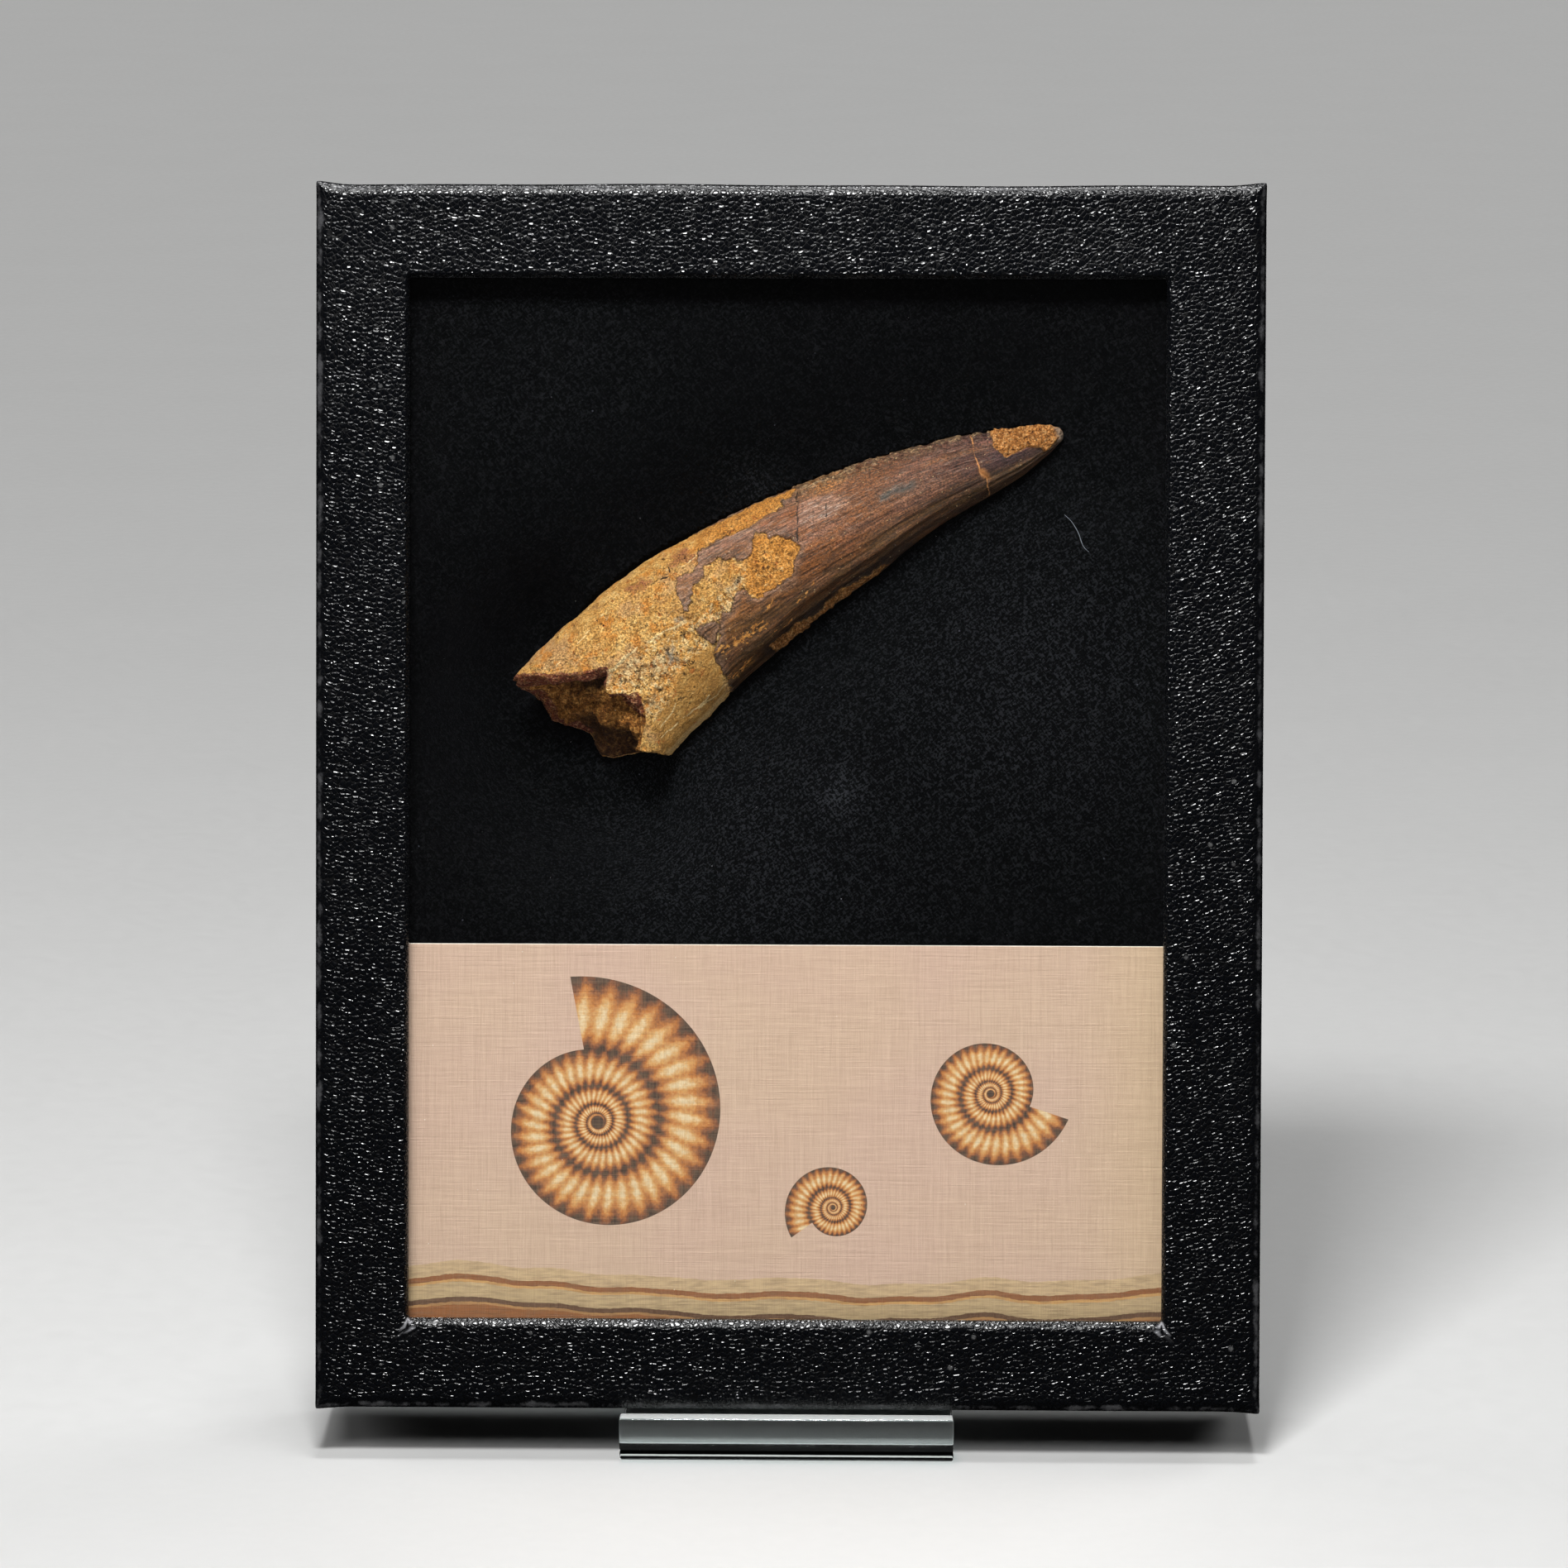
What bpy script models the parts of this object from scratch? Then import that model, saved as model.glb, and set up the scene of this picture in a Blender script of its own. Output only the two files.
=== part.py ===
"""A fossil tooth in a shallow display box that leans on a small clear easel.

Metres, +Z up. The window looks along -Y, and the easel stands on z = 0 with the middle of the whole
footprint at x = 0, y = 0. Everything in the box is laid out upright, with x across, z up from the
box's lower edge and depth counted backwards from its front, and then leans back as one.
"""

import math

import bmesh
import bpy
from mathutils import Matrix, Vector

GAP = 0.0003  # play between pieces that touch

# Display box: a covered lid with a window, over a plain tray
BOX_WIDTH = 0.156
BOX_HEIGHT = 0.2025
BOX_DEPTH = 0.028
BOX_LEAN = math.radians(10)
BOARD = 0.0016
EDGE_ROUND = 0.0013
EDGE_STEPS = 3
LID_SHORT = 0.001  # the lid's rim stops this far in front of the tray's back
TRAY_PLAY = 0.0004
WINDOW_LEFT = -0.0626
WINDOW_RIGHT = 0.0617
WINDOW_BOTTOM = 0.0143
WINDOW_TOP = 0.1867
WINDOW_FLARE = 0.0007

GLASS_THICKNESS = 0.002
CARD_THICKNESS = 0.0004
CARD_TOP = 0.077

# Pad: foam under felt, dished where the tooth presses into it
PAD_COLUMNS = 26
PAD_ROWS = 34
DISH_REACH = 0.013
DISH_FLAT_EDGE = 0.012
DISH_END = (-0.002, 0.012)  # between these stations the felt drops from beside the tooth to under it
SOCKET_PLAY = 0.0009

# Tooth: a gently bent cone. Stations are distances along the straight line from root to tip
ROOT = Vector((-0.0327, 0.1146))  # across, up
TIP = Vector((0.0449, 0.1618))
BEND = 0.0057
TOOTH_FRONT = 0.0006  # behind the glass, at the root
TIP_SINKS = 0.002
TOOTH_RINGS = 44
TOOTH_SIDES = 40
SOCKET_RINGS = 22
SOCKET_SIDES = 24
TIP_CROWDING = 1.35
# (station, width across the box, thickness front to back), in millimetres
TOOTH_SECTIONS = (
    (-7, 27.2, 13.4),
    (0, 27.6, 14.4),
    (15, 26.9, 17.0),
    (30, 23.4, 17.2),
    (45, 19.6, 15.2),
    (60, 15.1, 12.2),
    (75, 11.3, 9.2),
    (83, 7.9, 6.6),
    (87.5, 5.0, 4.3),
    (90, 2.4, 2.1),
)
# (angle, station) of the broken root's rim, in degrees and millimetres. 0 is the upper edge, 90 the back,
# 180 the lower edge and 270 the front
BROKEN_RIM = (
    (0, -4.5),
    (30, -4.8),
    (55, -4.4),
    (72, -5.2),
    (95, -3.0),
    (116, -3.9),
    (128, -1.2),
    (145, 2.2),
    (180, 4.5),
    (212, 3.2),
    (225, 2.0),
    (241, 6.2),
    (261, 6.6),
    (274, 4.4),
    (286, 6.7),
    (296, 3.4),
    (325, -1.8),
)
# (share of the rim's radius, how far in) of the hollow in the broken root, the second in millimetres
HOLLOW = ((0.9, 0.3), (0.76, 1.7), (0.5, 2.6), (0.25, 2.3), (0.0, 2.5))
HOLLOW_LUMP = 0.0005
ROOT_LUMP = 0.00016
ROOT_END = 0.042  # the station where the lumpy root gives way to smooth enamel
GROOVE_ANGLE = 203
GROOVE_SPREAD = 9
GROOVE_DEPTH = 0.0008
GROOVE_STATIONS = (0.024, 0.066)

# Easel: one bent sheet, with lip, ledge, back plate and rear leg
EASEL_WIDTH = 0.055
SHEET = 0.003
LIP_HEIGHT = 0.008
LIP_CLEARANCE = 0.0008
PLATE_LENGTH = 0.095
LEG_ANGLE = math.radians(25)
TIGHT_BEND = 0.0025  # radius at the middle of the sheet
TOP_BEND = 0.006
BEND_STEPS = 5
SHEET_BEVEL = 0.0003

# Where the box and easel stand
LEAN_UP = Vector((0, math.sin(BOX_LEAN), math.cos(BOX_LEAN)))
LEAN_BACK = Vector((0, math.cos(BOX_LEAN), -math.sin(BOX_LEAN)))
HEEL_HEIGHT = SHEET + GAP - LID_SHORT * math.sin(BOX_LEAN)  # of the box's lower back edge

GLASS_BACK = BOARD + GAP + GLASS_THICKNESS
CARD_FRONT = GLASS_BACK + GAP
FELT_FRONT = CARD_FRONT + CARD_THICKNESS + GAP + 0.0001
PAD_BACK = BOX_DEPTH - BOARD - GAP
TRAY_EDGE = BOARD + TRAY_PLAY  # from the box's outside to the tray's outside
TRAY_INSIDE = TRAY_EDGE + BOARD
TOOTH_LENGTH = (TIP - ROOT).length


def finish(name, colour, roughness, metallic=0.0, transmission=0.0, ior=1.5):
    material = bpy.data.materials.new(name)
    material.use_nodes = True
    shader = material.node_tree.nodes["Principled BSDF"]
    shader.inputs["Base Color"].default_value = (*colour, 1.0)
    shader.inputs["Roughness"].default_value = roughness
    shader.inputs["Metallic"].default_value = metallic
    shader.inputs["Transmission Weight"].default_value = transmission
    shader.inputs["IOR"].default_value = ior
    material.diffuse_color = (*colour, 1.0)
    return material


def add_object(name, shape, collection, parent=None, material=None):
    mesh = bpy.data.meshes.new(name)
    shape.to_mesh(mesh)
    shape.free()
    made = bpy.data.objects.new(name, mesh)
    collection.objects.link(made)
    made.parent = parent
    if material:
        mesh.materials.append(material)
    return made


def block(low, high):
    """A box between two corners."""
    low, high = Vector(low), Vector(high)
    shape = bmesh.new()
    bmesh.ops.create_cube(shape, size=1.0)
    bmesh.ops.scale(shape, vec=high - low, verts=shape.verts)
    bmesh.ops.translate(shape, vec=(low + high) / 2, verts=shape.verts)
    return shape


def in_box(left, right, front, back, bottom, top):
    """A box given by its sides, with depths counted from the display box's front."""
    return block((left, front - BOX_DEPTH, bottom), (right, back - BOX_DEPTH, top))


def cut(target, cutter, name):
    cutter.hide_render = True
    cutter.display_type = "WIRE"
    modifier = target.modifiers.new(name, "BOOLEAN")
    modifier.operation = "DIFFERENCE"
    modifier.solver = "EXACT"
    modifier.object = cutter


def smooth_between(points, at):
    """The value at a place on the smooth curve through (place, value) points, by cubic pieces."""
    last = len(points) - 2
    i = next((k for k in range(last) if at < points[k + 1][0]), last)
    (x0, y0), (x1, y1) = points[i], points[i + 1]

    def slope(k):
        before, after = points[max(k - 1, 0)], points[min(k + 1, len(points) - 1)]
        return (after[1] - before[1]) / (after[0] - before[0])

    step = x1 - x0
    t = (at - x0) / step
    start = (1 + 2 * t) * (1 - t) ** 2 * y0 + t * (1 - t) ** 2 * step * slope(i)
    end = t * t * (3 - 2 * t) * y1 - t * t * (1 - t) * step * slope(i + 1)
    return start + end


def fade(value, start, end):
    """0 before start, 1 after end, and a smooth step between."""
    t = min(max((value - start) / (end - start), 0.0), 1.0)
    return t * t * (3 - 2 * t)


def tooth_width(station):
    if station > TOOTH_SECTIONS[-1][0] / 1000:
        return tip_share(station) * TOOTH_SECTIONS[-1][1] / 1000
    return smooth_between([(s, w) for s, w, _ in TOOTH_SECTIONS], station * 1000) / 1000


def tooth_thickness(station):
    if station > TOOTH_SECTIONS[-1][0] / 1000:
        return tip_share(station) * TOOTH_SECTIONS[-1][2] / 1000
    return smooth_between([(s, t) for s, _, t in TOOTH_SECTIONS], station * 1000) / 1000


def tip_share(station):
    """The blunt tip closes like the end of an egg."""
    start = TOOTH_SECTIONS[-1][0] / 1000
    t = min((station - start) / (TOOTH_LENGTH - start), 1.0)
    return math.sqrt(max(1 - t * t, 0.0))


def tooth_axis(station):
    """The middle of the tooth at a station, and the directions along and across it there."""
    chord = (TIP - ROOT).normalized()
    across = Vector((-chord.y, chord.x))
    t = station / TOOTH_LENGTH
    middle = ROOT + chord * station + across * 4 * BEND * t * (1 - t)
    along = (chord + across * 4 * BEND * (1 - 2 * t) / TOOTH_LENGTH).normalized()
    return middle, along, Vector((-along.y, along.x))


def tooth_depth(station):
    """How far the middle of the tooth lies behind the box's front."""
    front = GLASS_BACK + TOOTH_FRONT + TIP_SINKS * max(station, 0.0) / TOOTH_LENGTH
    return front + tooth_thickness(station) / 2


def tooth_relief(station, angle):
    """How far the surface stands out from a plain bent cone."""
    lumps = math.sin(station * 520 + 1.3 * angle) * math.sin(3 * angle + station * 260)
    lumps += 0.6 * math.sin(station * 900 - 5 * angle)
    root = ROOT_LUMP * lumps * (1 - fade(station, ROOT_END - 0.01, ROOT_END + 0.01))
    start, end = GROOVE_STATIONS
    stretch = fade(station, start, start + 0.008) * (1 - fade(station, end - 0.01, end))
    turned = (math.degrees(angle) - GROOVE_ANGLE) / GROOVE_SPREAD
    return root - GROOVE_DEPTH * stretch * math.exp(-turned * turned)


def tooth_point(station, angle, swell=0.0):
    middle, _, across = tooth_axis(station)
    relief = swell or tooth_relief(station, angle)
    side = (tooth_width(station) / 2 + relief) * math.cos(angle)
    back = (tooth_thickness(station) / 2 + relief) * math.sin(angle)
    place = middle + across * side
    return Vector((place.x, tooth_depth(station) + back - BOX_DEPTH, place.y))


def rim_station(angle):
    wrapped = [(a - 360, s) for a, s in BROKEN_RIM[-2:]] + list(BROKEN_RIM)
    wrapped += [(a + 360, s) for a, s in BROKEN_RIM[:2]]
    return smooth_between(wrapped, math.degrees(angle) % 360) / 1000


def bridge(shape, ring, following):
    for i, corner in enumerate(ring):
        after = (i + 1) % len(ring)
        shape.faces.new((corner, ring[after], following[after], following[i]))


def close_end(shape, ring, point):
    for i, corner in enumerate(ring):
        shape.faces.new((corner, ring[(i + 1) % len(ring)], point))


def tooth_shape(rings, sides, swell=0.0):
    """The tooth as a loft from its broken rim to its tip, with a hollow behind the rim."""
    shape = bmesh.new()
    angles = [2 * math.pi * i / sides for i in range(sides)]
    end = TOOTH_LENGTH + swell
    loops = []
    for k in range(rings):
        share = 1 - (1 - k / rings) ** TIP_CROWDING
        stations = [rim_station(a) - swell + (end - rim_station(a) + swell) * share for a in angles]
        loops.append([shape.verts.new(tooth_point(s, a, swell)) for s, a in zip(stations, angles)])
    for ring, following in zip(loops, loops[1:]):
        bridge(shape, ring, following)
    close_end(shape, loops[-1], shape.verts.new(tooth_point(end, 0.0) + Vector((swell / 2, 0, 0))))

    rim = [corner.co.copy() for corner in loops[0]]
    centre = sum(rim, Vector()) / sides
    _, along, _ = tooth_axis(0.0)
    inward = Vector((along.x, 0, along.y))
    outer = loops[0]
    for share, sunk in HOLLOW[:-1]:
        sunk = 0.0 if swell else sunk / 1000
        inner = []
        for a, corner in zip(angles, rim):
            lump = 0.0 if swell else HOLLOW_LUMP * math.sin(5 * a + 9 * share) * (1 - share)
            inner.append(shape.verts.new(centre + (corner - centre) * share + inward * (sunk + lump)))
        bridge(shape, inner, outer)
        outer = inner
    floor = 0.0 if swell else HOLLOW[-1][1] / 1000
    close_end(shape, outer[::-1], shape.verts.new(centre + inward * floor))
    bmesh.ops.recalc_face_normals(shape, faces=shape.faces)
    return shape


def dish(x, z):
    """How far the felt is pressed in at a place, by the tooth that lies nearest."""
    samples = 48
    nearest, contact = math.inf, 0.0
    for i in range(samples + 1):
        station = TOOTH_LENGTH * i / samples
        middle, _, _ = tooth_axis(station)
        away = math.hypot(x - middle.x, z - middle.y) - tooth_width(station) / 2
        if away < nearest:
            nearest = away
            contact = tooth_depth(station) - FELT_FRONT
    past_end = 1 - fade((Vector((x, z)) - ROOT).dot((TIP - ROOT).normalized()), *DISH_END)
    contact += past_end * tooth_thickness(0.0) / 2
    spread = max(nearest, 0.0) / DISH_REACH
    return contact * math.exp(-spread * spread)


def pad_shape(left, right, bottom, top):
    """A foam block with a dished front: a grid pressed in by the tooth, closed to a flat back."""
    shape = bmesh.new()
    turn = Matrix.Rotation(math.radians(90), 4, "X")
    bmesh.ops.create_grid(shape, x_segments=PAD_COLUMNS, y_segments=PAD_ROWS, size=0.5, matrix=turn)
    for corner in shape.verts:
        x = left + (corner.co.x + 0.5) * (right - left)
        z = bottom + (corner.co.z + 0.5) * (top - bottom)
        edge = min(x - left, right - x, z - bottom, top - z)
        pressed = dish(x, z) * fade(edge, 0.0, DISH_FLAT_EDGE)
        corner.co = Vector((x, FELT_FRONT + pressed - BOX_DEPTH, z))
    grown = bmesh.ops.extrude_face_region(shape, geom=shape.faces[:])
    back = [item for item in grown["geom"] if isinstance(item, bmesh.types.BMVert)]
    for corner in back:
        corner.co.y = PAD_BACK - BOX_DEPTH
    flat_edges = [edge for edge in shape.edges if all(end in back for end in edge.verts)]
    bmesh.ops.dissolve_limit(shape, angle_limit=math.radians(0.5), verts=back, edges=flat_edges)
    bmesh.ops.recalc_face_normals(shape, faces=shape.faces)
    return shape


def bent_line(corners, radii):
    """Points and left-hand normals along straight runs joined by arcs."""
    points = [(corners[0], (corners[1] - corners[0]).normalized())]
    for before, corner, after, radius in zip(corners, corners[1:], corners[2:], radii):
        into = (corner - before).normalized()
        out = (after - corner).normalized()
        turn = into.angle_signed(out) * -1
        reach = radius * math.tan(abs(turn) / 2)
        left = Vector((-into.y, into.x)) * math.copysign(1, turn)
        centre = corner - into * reach + left * radius
        for step in range(BEND_STEPS + 1):
            swing = Matrix.Rotation(turn * step / BEND_STEPS, 2)
            points.append((centre - swing @ (left * radius), swing @ into))
    points.append((corners[-1], (corners[-1] - corners[-2]).normalized()))
    return [(point, Vector((-along.y, along.x))) for point, along in points]


def easel_outline(heel):
    """The easel's side view as a closed outline of (y, z) points, from the box's lower back edge."""
    up = Vector((LEAN_UP.y, LEAN_UP.z))
    back = Vector((LEAN_BACK.y, LEAN_BACK.z))
    plate = heel + back * (GAP + SHEET / 2)
    seat = plate - up * ((plate.y - SHEET / 2) / up.y)
    lip = heel.x - BOX_DEPTH * math.cos(BOX_LEAN) - LIP_CLEARANCE - SHEET / 2
    top = seat + up * PLATE_LENGTH
    leg = Vector((math.sin(LEG_ANGLE), -math.cos(LEG_ANGLE)))
    foot_height = math.sin(LEG_ANGLE) * SHEET / 2
    foot = top + leg * ((top.y - foot_height) / math.cos(LEG_ANGLE))
    corners = [Vector((lip, LIP_HEIGHT)), Vector((lip, SHEET / 2)), seat, top, foot]
    line = bent_line(corners, (TIGHT_BEND, TIGHT_BEND, TOP_BEND))
    one_side = [point + normal * SHEET / 2 for point, normal in line]
    other_side = [point - normal * SHEET / 2 for point, normal in line]
    return one_side + other_side[::-1]


def add_easel(outline, collection, material):
    """The outline filled and made as wide as the sheet, with its edges just broken."""
    curve = bpy.data.curves.new("easel", "CURVE")
    curve.dimensions = "2D"
    curve.fill_mode = "BOTH"
    curve.extrude = EASEL_WIDTH / 2
    spline = curve.splines.new("POLY")
    spline.points.add(len(outline) - 1)
    for point, (y, z) in zip(spline.points, outline):
        point.co = (y, z, 0, 1)
    spline.use_cyclic_u = True
    curve.materials.append(material)
    made = bpy.data.objects.new("easel", curve)
    made.rotation_euler = (math.radians(90), 0, math.radians(90))
    collection.objects.link(made)
    weld = made.modifiers.new("join caps", "WELD")
    weld.merge_threshold = 0.00001
    bevel = made.modifiers.new("broken edges", "BEVEL")
    bevel.width = SHEET_BEVEL
    bevel.segments = 1
    bevel.limit_method = "ANGLE"
    bevel.angle_limit = math.radians(60)
    return made


def add_lid(collection, cutters, leaning, material):
    half = BOX_WIDTH / 2
    back = BOX_DEPTH - LID_SHORT
    shape = in_box(-half, half, 0, back, 0, BOX_HEIGHT)
    rim = back - BOX_DEPTH - GAP
    rounded = [edge for edge in shape.edges if not all(end.co.y > rim for end in edge.verts)]
    bmesh.ops.bevel(
        shape, geom=rounded, offset=EDGE_ROUND, segments=EDGE_STEPS, profile=0.5, affect="EDGES"
    )
    lid = add_object("lid", shape, collection, leaning, material)

    inside = in_box(BOARD - half, half - BOARD, BOARD, BOX_DEPTH, BOARD, BOX_HEIGHT - BOARD)
    cut(lid, add_object("lid_hollow", inside, cutters, leaning), "hollow")
    window = in_box(WINDOW_LEFT, WINDOW_RIGHT, -BOARD, 2 * BOARD, WINDOW_BOTTOM, WINDOW_TOP)
    cut(lid, add_object("window_hole", window, cutters, leaning), "window")
    # A shallow wedge widens the window's mouth, where the covering turns over the board's edge
    mouth = in_box(WINDOW_LEFT, WINDOW_RIGHT, -WINDOW_FLARE, WINDOW_FLARE, WINDOW_BOTTOM, WINDOW_TOP)
    centre = Vector(((WINDOW_LEFT + WINDOW_RIGHT) / 2, 0, (WINDOW_BOTTOM + WINDOW_TOP) / 2))
    for corner in mouth.verts:
        if corner.co.y < -BOX_DEPTH:
            corner.co.x += math.copysign(2 * WINDOW_FLARE, corner.co.x - centre.x)
            corner.co.z += math.copysign(2 * WINDOW_FLARE, corner.co.z - centre.z)
    cut(lid, add_object("window_mouth", mouth, cutters, leaning), "mouth")
    return lid


def add_tray(collection, cutters, leaning, material):
    outer, inner = BOX_WIDTH / 2 - TRAY_EDGE, BOX_WIDTH / 2 - TRAY_INSIDE
    front = GLASS_BACK + GAP
    shape = in_box(-outer, outer, front, BOX_DEPTH, TRAY_EDGE, BOX_HEIGHT - TRAY_EDGE)
    tray = add_object("base_tray", shape, collection, leaning, material)
    well = in_box(
        -inner, inner, front - BOARD, BOX_DEPTH - BOARD, TRAY_INSIDE, BOX_HEIGHT - TRAY_INSIDE
    )
    cut(tray, add_object("tray_well", well, cutters, leaning), "well")
    return tray


def add_pad(collection, cutters, leaning, material):
    side = BOX_WIDTH / 2 - TRAY_INSIDE - GAP
    shape = pad_shape(-side, side, TRAY_INSIDE + GAP, BOX_HEIGHT - TRAY_INSIDE - GAP)
    pad = add_object("felt_pad", shape, collection, leaning, material)
    socket = tooth_shape(SOCKET_RINGS, SOCKET_SIDES, SOCKET_PLAY)
    cut(pad, add_object("tooth_socket", socket, cutters, leaning), "socket")
    return pad


def main():
    for old in list(bpy.data.objects):
        bpy.data.objects.remove(old)
    parts = bpy.data.collections.new("framed_fossil_tooth")
    cutters = bpy.data.collections.new("cutters")
    cutters.hide_render = True
    for collection in (parts, cutters):
        bpy.context.scene.collection.children.link(collection)

    leather_paper = finish("black grained paper", (0.016, 0.016, 0.018), 0.42)
    board = finish("black board", (0.02, 0.02, 0.021), 0.8)
    glass = finish("window glass", (0.98, 0.99, 0.98), 0.02, transmission=1.0, ior=1.5)
    felt = finish("black felt", (0.012, 0.012, 0.013), 0.95)
    paper = finish("linen card", (0.68, 0.5, 0.34), 0.7)
    fossil = finish("ochre and brown fossil", (0.42, 0.24, 0.09), 0.6)
    acrylic = finish("clear acrylic", (0.97, 0.98, 0.98), 0.03, transmission=1.0, ior=1.49)

    seat_depth = BOX_DEPTH * math.cos(BOX_LEAN) + LIP_CLEARANCE + SHEET
    outline = easel_outline(Vector((0, HEEL_HEIGHT)))
    heel_y = -(max(y for y, _ in outline) - seat_depth) / 2
    leaning = bpy.data.objects.new("box_lean", None)
    leaning.location = (0, heel_y, HEEL_HEIGHT)
    leaning.rotation_euler = (-BOX_LEAN, 0, 0)
    parts.objects.link(leaning)

    add_lid(parts, cutters, leaning, leather_paper)
    add_tray(parts, cutters, leaning, board)
    side = BOX_WIDTH / 2 - TRAY_EDGE
    pane = in_box(-side, side, BOARD + GAP, GLASS_BACK, TRAY_EDGE, BOX_HEIGHT - TRAY_EDGE)
    add_object("glass_pane", pane, parts, leaning, glass)
    add_pad(parts, cutters, leaning, felt)
    side = BOX_WIDTH / 2 - TRAY_INSIDE - GAP
    card = in_box(-side, side, CARD_FRONT, CARD_FRONT + CARD_THICKNESS, TRAY_INSIDE + GAP, CARD_TOP)
    add_object("label_card", card, parts, leaning, paper)
    tooth = add_object("tooth", tooth_shape(TOOTH_RINGS, TOOTH_SIDES), parts, leaning, fossil)
    tooth.data.shade_smooth()
    tooth.data.set_sharp_from_angle(angle=math.radians(50))
    add_easel([(y + heel_y, z) for y, z in outline], parts, acrylic)


main()
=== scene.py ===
import itertools
import math

import bmesh
import bpy
import numpy as np
from mathutils import Matrix, Vector


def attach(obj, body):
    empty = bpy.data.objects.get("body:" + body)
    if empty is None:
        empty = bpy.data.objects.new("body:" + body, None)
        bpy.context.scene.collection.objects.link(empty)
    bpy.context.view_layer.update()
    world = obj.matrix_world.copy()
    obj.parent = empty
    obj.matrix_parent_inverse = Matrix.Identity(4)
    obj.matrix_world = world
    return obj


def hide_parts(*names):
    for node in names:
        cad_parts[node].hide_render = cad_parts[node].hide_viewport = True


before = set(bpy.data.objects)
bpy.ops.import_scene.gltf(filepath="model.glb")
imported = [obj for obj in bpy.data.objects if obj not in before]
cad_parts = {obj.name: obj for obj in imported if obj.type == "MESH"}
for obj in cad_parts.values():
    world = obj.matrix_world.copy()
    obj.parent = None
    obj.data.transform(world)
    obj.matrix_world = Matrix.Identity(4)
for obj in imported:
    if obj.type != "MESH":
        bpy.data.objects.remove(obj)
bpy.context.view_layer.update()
print("frame loaded:", ", ".join(sorted(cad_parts)))

# Everything in the display box is laid out upright, in mm, and then leans back as one:
# x is across, depth runs backwards from the box's front, and height is from its lower edge
box = {
    "width": 156.0,
    "height": 202.5,
    "depth": 28.0,
    "lean": math.radians(10),
    "heel": (0.0, -16.026, 3.126),  # its lower back edge, in the frame
    "board": 1.6,
    "glassBack": 3.9,
    "cardFront": 4.2,
    "feltFront": 5.0,
    "trayOutside": 2.0,
    "trayInside": 3.6,
    "play": 0.3,
}
leanTurn = np.array(Matrix.Rotation(-box["lean"], 3, "X"))

# The camera's place and direction, in the upright box
camera = {
    "aim": (-0.8, 0.0, 103.7),
    "away": 900.0,
    "yaw": math.radians(-0.9),
    "pitch": math.radians(1.8),
    "roll": math.radians(0.2),
    "view": 2 * math.atan(948 / 6620),
}


# Shapes
def stand(points):
    local = np.asarray(points, float) - (0.0, box["depth"], 0.0)
    return (local @ leanTurn.T + box["heel"]) / 1000


def fade(value, start, end):
    t = np.clip((value - start) / (end - start), 0.0, 1.0)
    return t * t * (3 - 2 * t)


def bell(value, spread):
    return np.exp(-((value / spread) ** 2))


def smoothBetween(pairs, at):
    xs, ys = np.array(pairs, float).T
    slopes = np.gradient(ys, xs) if len(xs) < 2 else np.empty(len(xs))
    slopes[1:-1] = (ys[2:] - ys[:-2]) / (xs[2:] - xs[:-2])
    slopes[0] = (ys[1] - ys[0]) / (xs[1] - xs[0])
    slopes[-1] = (ys[-1] - ys[-2]) / (xs[-1] - xs[-2])
    i = np.clip(np.searchsorted(xs, at, side="right") - 1, 0, len(xs) - 2)
    step = xs[i + 1] - xs[i]
    t = (at - xs[i]) / step
    start = (1 + 2 * t) * (1 - t) ** 2 * ys[i] + t * (1 - t) ** 2 * step * slopes[i]
    return start + t * t * (3 - 2 * t) * ys[i + 1] - t * t * (1 - t) * step * slopes[i + 1]


def noiseAt(points, size, layer=0):
    # smooth noise from -1 to 1, with lumps of that size
    cell = np.asarray(points, float) / size + 31.7 * (layer + 1)
    low = np.floor(cell).astype(np.int64)
    part = cell - low
    part = part * part * part * (part * (part * 6 - 15) + 10)
    total = np.zeros(len(cell))
    for corner in itertools.product((0, 1), repeat=3):
        x, y, z = (low + corner).T
        mixed = (x * 73856093) ^ (y * 19349663) ^ (z * 83492791)
        mixed = ((mixed ^ (mixed >> 13)) & 0x7FFFFFFF) * 1274126177
        value = ((mixed >> 9) & 0xFFFF) / 32767.5 - 1
        total += value * np.prod(np.where(corner, part, 1 - part), axis=1)
    return total


def roughAt(points, size, layer=0, steps=3):
    return sum(noiseAt(points, size / 2**k, layer + k) * 0.6**k for k in range(steps))


def insideBy(places, outline):
    # how far places lie inside an outline, and below 0 outside it
    corners = np.asarray(outline, float)
    nearest = np.full(len(places), np.inf)
    inside = np.zeros(len(places), bool)
    for start, end in zip(corners, np.roll(corners, -1, axis=0)):
        run = end - start
        t = np.clip(((places - start) @ run) / (run @ run), 0, 1)
        nearest = np.minimum(nearest, np.hypot(*(places - start - t[:, None] * run).T))
        crosses = (start[1] > places[:, 1]) != (end[1] > places[:, 1])
        meets = start[0] + (places[:, 1] - start[1]) * run[0] / (run[1] or 1e-9)
        inside ^= crosses & (places[:, 0] < meets)
    return np.where(inside, nearest, -nearest)


def fromLine(places, line):
    # the distance of places from a line of points
    nearest = np.full(len(places), np.inf)
    for start, end in zip(np.asarray(line[:-1], float), np.asarray(line[1:], float)):
        run = end - start
        t = np.clip(((places - start) @ run) / (run @ run), 0, 1)
        nearest = np.minimum(nearest, np.hypot(*(places - start - t[:, None] * run).T))
    return nearest


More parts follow.
